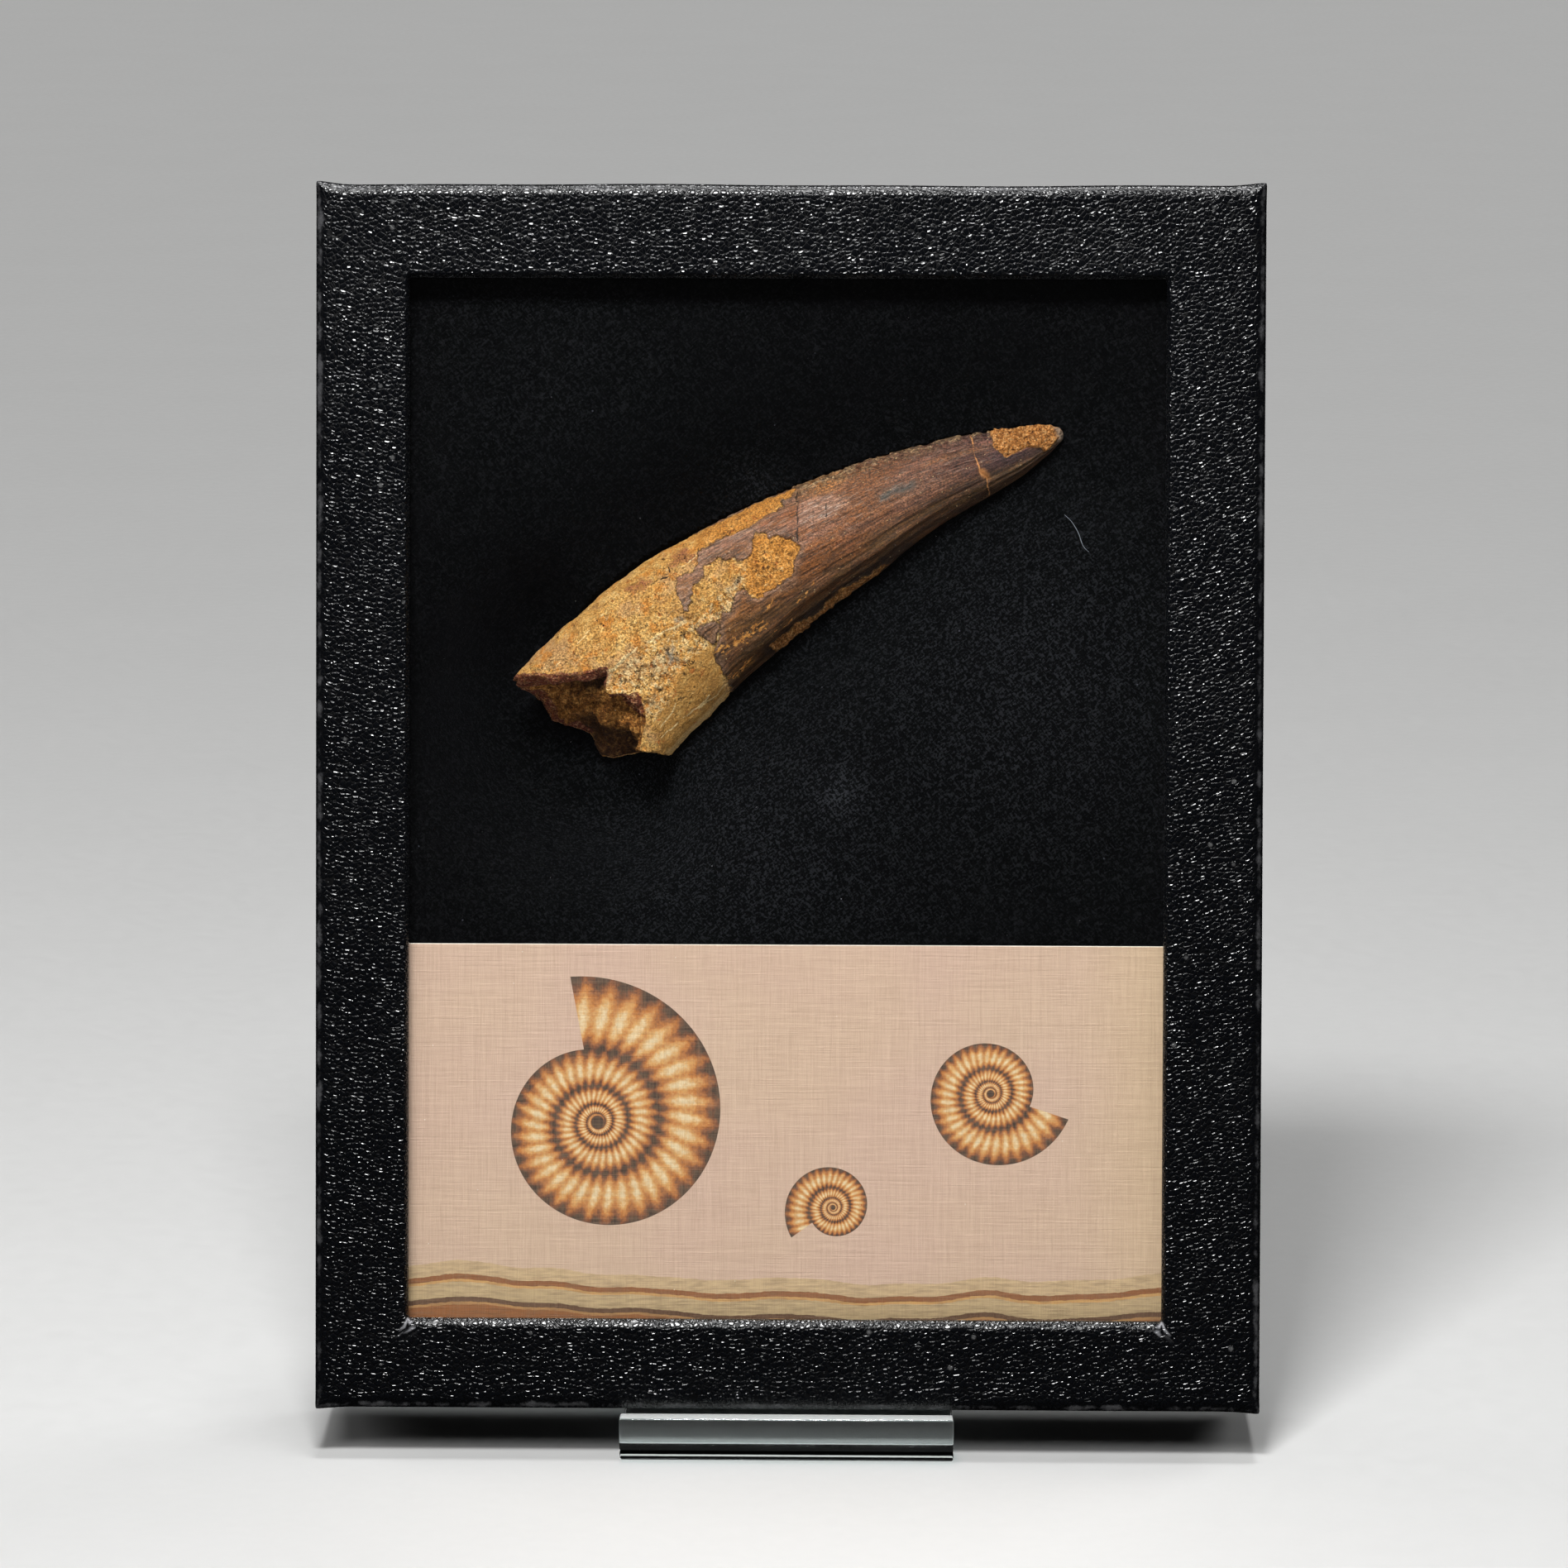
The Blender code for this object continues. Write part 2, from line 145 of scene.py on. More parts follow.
def gridFaces(rows, columns, loopRows=False, loopColumns=True):
    index = np.arange(rows * columns).reshape(rows, columns)
    if loopColumns:
        index = np.column_stack((index, index[:, :1]))
    if loopRows:
        index = np.vstack((index, index[:1]))
    quads = np.stack((index[:-1, :-1], index[:-1, 1:], index[1:, 1:], index[1:, :-1]), axis=-1)
    return quads.reshape(-1, 4).tolist()


def addPiece(name, points, faces, material, sharp=None):
    mesh = bpy.data.meshes.new(name)
    mesh.from_pydata(np.asarray(points).tolist(), [], faces)
    shape = bmesh.new()
    shape.from_mesh(mesh)
    bmesh.ops.recalc_face_normals(shape, faces=shape.faces)
    shape.to_mesh(mesh)
    shape.free()
    mesh.shade_smooth()
    if sharp:
        mesh.set_sharp_from_angle(angle=math.radians(sharp))
    mesh.materials.append(material)
    piece = bpy.data.objects.new(name, mesh)
    bpy.context.scene.collection.objects.link(piece)
    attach(piece, "root")
    return piece


def store(piece, name, values):
    values = np.asarray(values, np.float32)
    kind, field = ("FLOAT_VECTOR", "vector") if values.ndim == 2 else ("FLOAT", "value")
    piece.data.attributes.new(name, kind, "POINT").data.foreach_set(field, values.ravel())


# Material nodes
def put(tree, kind, inputs=None, **settings):
    made = tree.nodes.new("ShaderNode" + kind)
    for name, value in settings.items():
        setattr(made, name, value)
    for name, value in (inputs or {}).items():
        if isinstance(value, bpy.types.NodeSocket):
            tree.links.new(value, made.inputs[name])
        else:
            made.inputs[name].default_value = value
    return made


def work(tree, operation, first, second=0.0, third=0.0):
    return put(tree, "Math", {0: first, 1: second, 2: third}, operation=operation).outputs[0]


def level(tree, value, start, end, low=0.0, high=1.0):
    inputs = {0: value, 1: start, 2: end, 3: low, 4: high}
    return put(tree, "MapRange", inputs, interpolation_type="SMOOTHSTEP").outputs[0]


def mixColours(tree, share, first, second, way="MIX"):
    inputs = {0: share, 6: first, 7: second}
    return put(tree, "Mix", inputs, data_type="RGBA", blend_type=way).outputs[2]


def noise(tree, vector, size, detail=2.0, rough=0.55, distort=0.0, gain=1.0):
    # noise about 0.5 with lumps of that size in mm; the gain spreads it out
    inputs = {
        "Vector": vector, "Scale": 1000 / size, "Detail": detail, "Roughness": rough, "Distortion": distort,
    }
    made = put(tree, "TexNoise", inputs).outputs[0]
    return made if gain == 1 else work(tree, "MULTIPLY_ADD", made, gain, 0.5 - 0.5 * gain)


def stretched(tree, vector, scale):
    return put(tree, "Mapping", {"Vector": vector, "Scale": scale}).outputs[0]


def stored(tree, name, output="Fac"):
    return put(tree, "Attribute", attribute_name=name, attribute_type="GEOMETRY").outputs[output]


def objectPlace(tree):
    return put(tree, "TexCoord").outputs["Object"]


def colourBands(tree, value, bands, steps="LINEAR"):
    made = put(tree, "ValToRGB", {0: value})
    ramp = made.color_ramp
    ramp.interpolation = steps
    while len(ramp.elements) < len(bands):
        ramp.elements.new(1.0)
    for element, (position, colour) in zip(ramp.elements, bands):
        element.position = position
        element.color = (*colour, 1.0)
    return made.outputs[0]


def newMaterial(name, **sockets):
    material = bpy.data.materials.new(name)
    material.use_nodes = True
    shader = material.node_tree.nodes["Principled BSDF"]
    for socket, value in sockets.items():
        label = " ".join(socket.split("_"))
        shader.inputs[label].default_value = value
    return material, material.node_tree, shader


def feed(tree, socket, value):
    tree.links.new(value, socket)


def raise_(tree, shader, height, distance, normal=None, strength=1.0):
    inputs = {"Height": height, "Distance": distance, "Strength": strength}
    if normal:
        inputs["Normal"] = normal
    made = put(tree, "Bump", inputs).outputs[0]
    feed(tree, shader.inputs["Normal"], made)
    return made


def newGroup(name, inputs, outputs):
    group = bpy.data.node_groups.new(name, "ShaderNodeTree")
    for label, kind, value in inputs:
        socket = group.interface.new_socket(name=label, in_out="INPUT", socket_type="NodeSocket" + kind)
        if value is not None:
            socket.default_value = value
    for label, kind in outputs:
        group.interface.new_socket(name=label, in_out="OUTPUT", socket_type="NodeSocket" + kind)
    return group, group.nodes.new("NodeGroupInput").outputs, group.nodes.new("NodeGroupOutput").inputs


def use(tree, group, inputs):
    made = tree.nodes.new("ShaderNodeGroup")
    made.node_tree = group
    for name, value in inputs.items():
        if isinstance(value, bpy.types.NodeSocket):
            tree.links.new(value, made.inputs[name])
        else:
            made.inputs[name].default_value = value
    return made.outputs


def grainGroup():
    # rounded pebbles of uneven size with narrow valleys between, as pressed into leather paper
    inputs = [("Place", "Vector", None), ("Density", "Float", 1300.0), ("Unevenness", "Float", 0.1)]
    group, given, out = newGroup("pebbleGrain", inputs, [("Height", "Float"), ("Valley", "Float")])
    wander = put(group, "TexNoise", {"Vector": given["Place"], "Scale": 420.0, "Detail": 2.0})
    shift = put(group, "VectorMath", {0: wander.outputs[1], 1: (0.5, 0.5, 0.5)}, operation="SUBTRACT")
    moved = put(group, "VectorMath", {0: shift.outputs[0], 3: 0.0007}, operation="SCALE")
    place = put(group, "VectorMath", {0: given["Place"], 1: moved.outputs[0]}, operation="ADD").outputs[0]
    pebbles = put(
        group, "TexVoronoi", {"Vector": place, "Scale": given["Density"], "Smoothness": 0.35},
        feature="SMOOTH_F1",
    ).outputs["Distance"]
    edges = put(
        group, "TexVoronoi", {"Vector": place, "Scale": given["Density"]}, feature="DISTANCE_TO_EDGE"
    ).outputs["Distance"]
    dome = level(group, pebbles, 0.8, 0.05)
    plateau = level(group, edges, 0.0, 0.24)
    swell = put(group, "TexNoise", {"Vector": given["Place"], "Scale": 800.0, "Detail": 3.0}).outputs[0]
    shape = work(group, "MULTIPLY_ADD", dome, 0.18, work(group, "MULTIPLY", plateau, 0.82))
    mixed = put(group, "Mix", {0: given["Unevenness"], 2: shape, 3: swell}, data_type="FLOAT").outputs[0]
    feed(group, out["Height"], mixed)
    feed(group, out["Valley"], level(group, edges, 0.12, 0.0))
    return group


def dustGroup():
    # sparse specks of dust
    inputs = [("Place", "Vector", None), ("Density", "Float", 700.0), ("Amount", "Float", 0.1)]
    group, given, out = newGroup("dustSpecks", inputs, [("Mask", "Float")])
    cells = put(group, "TexVoronoi", {"Vector": given["Place"], "Scale": given["Density"]}, feature="F1")
    chosen = put(group, "SeparateColor", {0: cells.outputs["Color"]}).outputs[0]
    rare = work(group, "LESS_THAN", chosen, given["Amount"])
    speck = level(group, cells.outputs["Distance"], 0.28, 0.1)
    feed(group, out["Mask"], work(group, "MULTIPLY", rare, speck))
    return group


def fibreGroup():
    # short hairs and threads, laid both ways
    inputs = [("Place", "Vector", None), ("Length", "Float", 0.12), ("Density", "Float", 3000.0)]
    group, given, out = newGroup("shortFibres", inputs, [("Height", "Float"), ("Tone", "Float")])
    one = put(group, "CombineXYZ", {0: given["Length"], 1: 1.0, 2: 1.0}).outputs[0]
    other = put(group, "CombineXYZ", {0: 1.0, 1: 1.0, 2: given["Length"]}).outputs[0]
    layers = []
    for scale in (one, other):
        laid = put(group, "VectorMath", {0: given["Place"], 1: scale}, operation="MULTIPLY").outputs[0]
        inputs = {"Vector": laid, "Scale": given["Density"], "Detail": 2.0, "Distortion": 0.6}
        layers.append(put(group, "TexNoise", inputs).outputs[0])
    both = work(group, "MULTIPLY", work(group, "ADD", *layers), 0.5)
    feed(group, out["Height"], both)
    feed(group, out["Tone"], level(group, both, 0.36, 0.64))
    return group


def wearGroup():
    # patchy rubbing along the edges that a mask marks
    inputs = [("Place", "Vector", None), ("Edge", "Float", 0.0), ("Amount", "Float", 0.5)]
    group, given, out = newGroup("edgeWear", inputs, [("Mask", "Float")])
    patches = put(group, "TexNoise", {"Vector": given["Place"], "Scale": 260.0, "Detail": 5.0, "Roughness": 0.7})
    reach = work(group, "MULTIPLY_ADD", given["Edge"], given["Amount"], patches.outputs[0])
    feed(group, out["Mask"], level(group, reach, 0.82, 1.05))
    return group


pebbleGrain, dustSpecks, shortFibres, edgeWear = grainGroup(), dustGroup(), fibreGroup(), wearGroup()
print("shared effects made")

# Grained paper and board
paper = {
    "colour": (0.0019, 0.0022, 0.003, 1),
    "valley": (0.0007, 0.0007, 0.001, 1),
    "worn": (0.05, 0.05, 0.053, 1),
    "foldHighlight": (0.5, 0.5, 0.53, 1),
    "roughness": (0.14, 0.19),
    "edgeRoughness": 0.24,
    "grainDensity": 1300.0,
    "grainHeight": 0.00013,
}


def grainedPaper():
    material, tree, shader = newMaterial("grainedPaper", IOR=1.5, Specular_IOR_Level=0.42)
    place = objectPlace(tree)
    grain = use(tree, pebbleGrain, {"Place": place, "Density": paper["grainDensity"]})
    dust = use(tree, dustSpecks, {"Place": place, "Density": 520.0, "Amount": 0.03})["Mask"]
    worn = use(tree, edgeWear, {"Place": place, "Edge": stored(tree, "edge"), "Amount": 0.42})["Mask"]
    colour = mixColours(tree, grain["Valley"], paper["colour"], paper["valley"])
    colour = mixColours(tree, worn, colour, paper["worn"])
    # painted highlight: the creases at the window's lower corners are painted pale grey
    colour = mixColours(tree, stored(tree, "fold"), colour, paper["foldHighlight"])
    colour = mixColours(tree, work(tree, "MULTIPLY", dust, 0.35), colour, (0.2, 0.2, 0.2, 1))
    feed(tree, shader.inputs["Base Color"], colour)
    stretchedPaper = work(tree, "MULTIPLY", stored(tree, "edge"), 0.84)
    sheen = noise(tree, place, 14.0, 3.0)
    rough = level(tree, sheen, 0.3, 0.7, *paper["roughness"])
    rough = put(tree, "Mix", {0: stored(tree, "edge"), 2: rough, 3: paper["edgeRoughness"]}, data_type="FLOAT").outputs[0]
    feed(tree, shader.inputs["Roughness"], work(tree, "MULTIPLY_ADD", grain["Valley"], 0.2, rough))
    waves = noise(tree, place, 9.0, 2.0)
    slow = put(tree, "Bump", {"Height": waves, "Distance": 0.00001}).outputs[0]
    # where the paper is stretched over an edge, its grain is flatter
    flattened = work(tree, "MULTIPLY", grain["Height"], work(tree, "SUBTRACT", 1.0, stretchedPaper))
    raise_(tree, shader, flattened, paper["grainHeight"], slow)
    return material


def blackBoard():
    material, tree, shader = newMaterial("blackBoard", IOR=1.45)
    place = objectPlace(tree)
    grain = use(tree, pebbleGrain, {"Place": place, "Density": 900.0, "Unevenness": 0.6})
    fibres = use(tree, shortFibres, {"Place": place, "Length": 0.2, "Density": 2600.0})
    dust = use(tree, dustSpecks, {"Place": place, "Density": 1200.0, "Amount": 0.008})["Mask"]
    worn = use(tree, edgeWear, {"Place": place, "Edge": stored(tree, "edge"), "Amount": 0.5})["Mask"]
    cloudy = level(tree, noise(tree, place, 30.0, 4.0), 0.35, 0.7)
    colour = mixColours(tree, cloudy, (0.014, 0.014, 0.0145, 1), (0.019, 0.019, 0.0202, 1))
    colour = mixColours(tree, work(tree, "MULTIPLY", fibres["Tone"], 0.25), colour, (0.035, 0.035, 0.036, 1))
    colour = mixColours(tree, worn, colour, (0.16, 0.15, 0.14, 1))
    colour = mixColours(tree, work(tree, "MULTIPLY", dust, 0.3), colour, (0.2, 0.2, 0.2, 1))
    feed(tree, shader.inputs["Base Color"], colour)
    feed(tree, shader.inputs["Roughness"], level(tree, cloudy, 0.0, 1.0, 0.42, 0.55))
    fine = put(tree, "Bump", {"Height": fibres["Height"], "Distance": 0.00003}).outputs[0]
    raise_(tree, shader, grain["Height"], 0.00014, fine)
    return material


# Lid
lid = {
    "edgeRound": 1.45,  # how deep the outer edge's rounding goes, and how far in it reaches
    "edgeReach": 2.3,
    "back": 27.0,
    "window": (-62.6, 61.7, 15.2, 186.7),  # left, right, bottom, top
    # the paper's slope from the front board over the window's edge: how far out, how deep
    "windowSlope": (
        (1.7, 0.0), (1.5, 0.02), (1.3, 0.07), (1.1, 0.14), (0.9, 0.23), (0.7, 0.34), (0.5, 0.47), (0.3, 0.64),
        (0.12, 0.88), (0.02, 1.18), (0.0, 1.45),
    ),
    "slopeShare": 0.45,  # how wide that slope is at the window's sides and top against its bottom
    "windowCorner": 0.5,
    "sideStep": 0.62,
    "cornerSteps": 6,
    "sag": {"top": 0.5, "bottom": 0.3, "left": 0.0, "right": 0.05},
    "ear": 2.2,  # how far from a corner the covering still stands up
}


def roundedFrame(left, right, bottom, top, radius, counts):
    # points round a rectangle with rounded corners, the same number for any size of it
    points = []
    corners = ((left, bottom, 180), (right, bottom, 270), (right, top, 0), (left, top, 90))
    turns = np.linspace(0, 90, lid["cornerSteps"] + 1)
    arcs = []
    for x, z, start in corners:
        middle = (x + math.copysign(radius, -x), z + (radius if z == bottom else -radius))
        angles = np.radians(start + turns)
        arcs.append(np.column_stack((middle[0] + radius * np.cos(angles), middle[1] + radius * np.sin(angles))))
    for k, arc in enumerate(arcs):
        following = arcs[(k + 1) % 4][0]
        steps = np.linspace(0, 1, counts[k % 2] + 2)[1:-1, None]
        points += [arc, arc[-1] + (following - arc[-1]) * steps]
    return np.vstack(points)


def lidLoops():
    # the lid's cross-section as loops: (loop round the box, depth, how much of the outer edge's sag it takes)
    half, height = box["width"] / 2, box["height"]
    left, right, bottom, top = lid["window"]
    counts = [round((right - left) / lid["sideStep"]), round((top - bottom) / lid["sideStep"])]

    def outer(inset, depth, sag=1.0):
        corner = max(lid["edgeRound"] - inset, 0.12)
        loop = roundedFrame(inset - half, half - inset, inset, height - inset, corner, counts)
        return loop, depth, sag

    def inner(outset, depth):
        corner, less = lid["windowCorner"] + 0.2 * outset, outset * lid["slopeShare"]
        loop = roundedFrame(left - less, right + less, bottom - outset, top + less, corner, counts)
        return loop, depth, 0.0

    back, board, bend, reach = lid["back"], box["board"], lid["edgeRound"], lid["edgeReach"]
    loops = [inner(0.0, board), outer(board, board, 0.0), outer(board, back - 0.3, 0.0)]
    loops += [outer(board - 0.25, back, 0.0), outer(0.3, back, 0.6), outer(0.0, back - 0.3)]
    loops += [outer(0.0, depth) for depth in np.linspace(back - 3, bend + 2, 8)]
    for angle in np.radians(np.linspace(0, 90, 10)):
        loops.append(outer(reach * (1 - math.cos(angle)), bend * (1 - math.sin(angle))))
    rim, mouth = outer(reach, 0.0)[0], inner(*lid["windowSlope"][0])[0]
    for share in np.linspace(0, 1, 14)[1:-1]:
        loops.append((rim + (mouth - rim) * share, 0.0, (1 - share) ** 2))
    return loops + [inner(outset, depth) for outset, depth in lid["windowSlope"]]


def lidPoints():
    half, height = box["width"] / 2, box["height"]
    left, right, bottom, top = lid["window"]
    rows, edges, folds = [], [], []
    for loop, depth, sag in lidLoops():
        x, z = loop.T.copy()
        fromSide = half - np.abs(x)
        fromEnd = np.minimum(z, height - z)
        settle = lid["sag"]
        # between its corners the covering lies a little lower than the folds that stand at them
        alongTop = 1 - bell(fromSide, lid["ear"] * 1.6)
        alongSide = 1 - bell(fromEnd, lid["ear"])
        upper, lower = fade(z, height - 4, height), 1 - fade(z, 0, 4)
        eastern, western = fade(x, half - 4, half), 1 - fade(x, -half, 4 - half)
        wave = 1 + 0.18 * np.sin(x / 17.0) + 0.12 * np.sin(x / 6.1 + 2)
        z = z - sag * settle["top"] * upper * alongTop * wave + sag * settle["bottom"] * lower * alongTop
        wave = 1 + 0.2 * np.sin(z / 21.0 + 1) + 0.1 * np.sin(z / 7.3)
        x = x - sag * settle["right"] * eastern * alongSide * wave
        x = x + sag * settle["left"] * western * alongSide * wave
        # the paper is pinched to a point where it folds round each corner
        if 0 < depth <= lid["edgeRound"] + 0.01 and sag == 1.0:
            pinch = 0.8 * bell(np.hypot(fromSide, fromEnd), 1.5)
            x = x + (np.sign(x) * half - x) * pinch
            z = z + (np.where(z > height / 2, height, 0.0) - z) * pinch
            depth = depth * (1 - 0.7 * pinch)
        # puckers where the paper turns over the window's edge
        share = lid["slopeShare"]
        away = np.maximum.reduce([(left - x) / share, (x - right) / share, bottom - z, (z - top) / share])
        low = bottom - z > away - 0.01
        atWindow = bell(away - 0.8, 1.0) * (depth < box["board"] - 0.05)
        spot = np.column_stack((x, np.full(len(x), 0.0) + depth, z))
        pucker = 0.1 * noiseAt(spot, 1.1, 3) + 0.08 * noiseAt(spot, 4.5, 4) + 0.05 * noiseAt(spot, 0.6, 6)
        pucker *= atWindow * np.where(low, 1.0, 0.3)
        fromCorner = np.minimum(np.abs(x - left), np.abs(x - right)) / share - (bottom - z)
        lift = 0.55 * bell(fromCorner, 0.6) * bell(away - 0.8, 1.2) * (away > 0) * (z < bottom)
        flat = 0.03 * noiseAt(spot, 38.0, 5) * (depth < 0.01) * fade(away, 0.5, 3)
        y = depth + np.maximum(pucker - lift + flat, -depth)
        rows.append(np.column_stack((x, y, z)))
        outerEdge = bell(np.minimum(fromSide, fromEnd) - 0.6, 1.0) * bell(depth - 0.3, 1.2)
        windowEdge = bell(away - 0.8, 0.9) * bell(depth - 0.4, 0.8) * np.where(low, 0.5, 0.2)
        edges.append(np.maximum(outerEdge, windowEdge))
        # the covering is slit at the window's lower corners; this mask marks each crease there for a painted highlight
        folds.append(0.9 * bell(fromCorner, 0.34) * bell(away - 0.9, 1.1) * (away > 0) * (z < bottom) * (depth < 1.0))
    return np.array(rows), np.concatenate(edges), np.concatenate(folds)


def addLid(material):
    rows, edges, folds = lidPoints()
    count, around = rows.shape[:2]
    points = stand(rows.reshape(-1, 3))
    piece = addPiece("lid_cover", points, gridFaces(count, around, loopRows=True), material, 40)
    store(piece, "edge", edges)
    store(piece, "fold", folds)
    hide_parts("lid")


# Tray
tray = {"front": 4.2, "back": 28.0, "floor": 26.4, "edgeRound": 0.5, "corner": 0.9, "step": 3.0, "bow": 0.12}


def addTray(material):
    half, height = box["width"] / 2, box["height"]
    counts = [round(box["width"] / tray["step"]), round(height / tray["step"])]
    rounding = tray["edgeRound"]

    def loop(inset, depth, corner=0.15):
        frameLoop = roundedFrame(inset - half, half - inset, inset, height - inset, corner, counts)
        return np.column_stack((frameLoop[:, 0], np.full(len(frameLoop), depth), frameLoop[:, 1]))

    outside, inside = box["trayOutside"], box["trayInside"]
    rows = [loop(inset, tray["floor"]) for inset in (40.0, 20.0, inside + 0.3)]
    rows += [loop(inside, tray["floor"] - 0.3), loop(inside, tray["front"] + 0.1)]
    rows += [loop(outside + 0.1, tray["front"], tray["corner"]), loop(outside, tray["front"] + 0.1, tray["corner"])]
    rows += [loop(outside, depth, tray["corner"]) for depth in (12.0, 20.0, 26.0)]
    for angle in np.radians(np.linspace(0, 90, 6)):
        sunk = rounding * (1 - math.sin(angle))
        rows.append(loop(outside + rounding * (1 - math.cos(angle)), tray["back"] - sunk, tray["corner"]))
    for inset in (4.0, 7.0, 12.0, 20.0, 30.0, 42.0, 54.0, 64.0, 72.0):
        bowed = tray["bow"] * fade(inset, 2.5, 30.0)
        rows.append(loop(inset, tray["back"] - bowed, 0.9))
    rows = np.array(rows)
    count, around = rows.shape[:2]
    faces = gridFaces(count, around)
    faces += [list(range(around)), list(range((count - 1) * around, count * around))]
    points = rows.reshape(-1, 3)
    edge = bell(points[:, 1] - tray["back"], 0.5) * bell(
        np.minimum(half - np.abs(points[:, 0]), np.minimum(points[:, 2], height - points[:, 2])) - outside, 0.7
    )
    piece = addPiece("tray", stand(points), faces, material, 40)
    store(piece, "edge", edge)
    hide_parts("base_tray")


# Glass
glass = {"tint": (0.975, 0.99, 0.985, 1), "clear": (0.97, 0.98, 0.975, 1)}


def clearMaterial(name, tint, clear, ior, smudge, scratches):
    # lamps reach what lies behind it, as they do through a thin clear sheet
    material, tree, shader = newMaterial(
        name, Base_Color=tint, Transmission_Weight=1.0, IOR=ior, Metallic=0.0
    )
    place = objectPlace(tree)
    smears = level(tree, noise(tree, place, 16.0, 5.0, 0.6, 1.5), 0.5, 0.8)
    dust = use(tree, dustSpecks, {"Place": place, "Density": 1500.0, "Amount": 0.002})["Mask"]
    film = work(tree, "MULTIPLY_ADD", dust, 0.3, work(tree, "MULTIPLY", smears, smudge))
    feed(tree, shader.inputs["Roughness"], work(tree, "MINIMUM", film, 0.6))
    fine = noise(tree, stretched(tree, place, (1.0, 1.0, 0.05)), 0.4, 2.0)
    raise_(tree, shader, fine, scratches)
    rays = put(tree, "LightPath").outputs
    passing = work(tree, "MAXIMUM", rays["Is Shadow Ray"], rays["Is Diffuse Ray"])
    through = put(tree, "BsdfTransparent", {"Color": clear})
    both = put(tree, "MixShader", {0: passing, 1: shader.outputs[0], 2: through.outputs[0]})
    feed(tree, tree.nodes["Material Output"].inputs["Surface"], both.outputs[0])
    return material


# Tooth: shape
tooth = {
    "root": (-32.7, 114.6),  # across and up
    "tip": (44.9, 161.8),
    "bend": 5.7,
    "front": 4.5,
    "tipSinks": 2.0,
    # station, width across the box, thickness front to back
    "sections": (
        (-7, 27.8, 13.4), (0, 28.1, 14.4), (15, 27.4, 17.0), (24, 25.7, 17.3), (30, 24.4, 17.2), (36, 22.9, 16.5),
        (45, 20.6, 15.2), (54, 18.3, 13.5), (60, 16.1, 12.2), (66, 13.9, 11.1), (75, 11.1, 9.2), (79, 9.5, 7.9),
        (83, 7.7, 6.6), (87.5, 5.0, 4.3), (90, 2.5, 2.1),
    ),
    # station, how far its middle strays to the upper side of a plain curve
    "sway": (
        (-7, 0.2), (0, 0.15), (10, 0.3), (17, 0.5), (24, 0.7), (30, 0.2), (36, 0.05), (42, -0.15), (48, -0.4),
        (54, -0.62), (60, -0.47), (66, -0.42), (72, -0.48), (79, -0.68), (83, -0.65), (87, -0.35), (92, -0.05),
    ),
    # angle round the tooth and station of the broken rim; 0 is the upper edge, 90 the back and 270 the front
    "rim": (
        (0, -4.5), (30, -4.8), (55, -4.4), (72, -5.2), (95, -3.0), (116, -3.9), (128, -1.2), (145, 2.2),
        (180, 4.5), (212, 3.2), (225, 2.0), (241, 6.2), (261, 6.6), (274, 4.4), (286, 6.7), (296, 3.4),
        (325, -1.8),
    ),
    "rimJags": 0.35,
    # share of the way out to the rim, how far in the hollow goes there
    "hollow": ((0.0, 2.5), (0.25, 2.3), (0.5, 2.6), (0.76, 1.7), (0.9, 0.3), (1.0, 0.0)),
    "rings": 380,
    "sides": 220,
    "hollowRings": 40,
    "tipCrowding": 1.25,
    "frontCrowding": 0.5,
    # angles round the broken root of its crusted parts
    "lip": 330,
    "wall": 262,
    "foot": 62,
    "lobe": 112,
    "enamel": 0.24,  # how thick the enamel is where it has flaked off
    "groove": {"angle": 203, "spread": 9, "depth": 0.8, "from": 24, "to": 66},
}
toothRoot, toothTip = np.array(tooth["root"]), np.array(tooth["tip"])
toothLength = float(np.hypot(*(toothTip - toothRoot)))
toothChord = (toothTip - toothRoot) / toothLength
toothAcross = np.array((-toothChord[1], toothChord[0]))

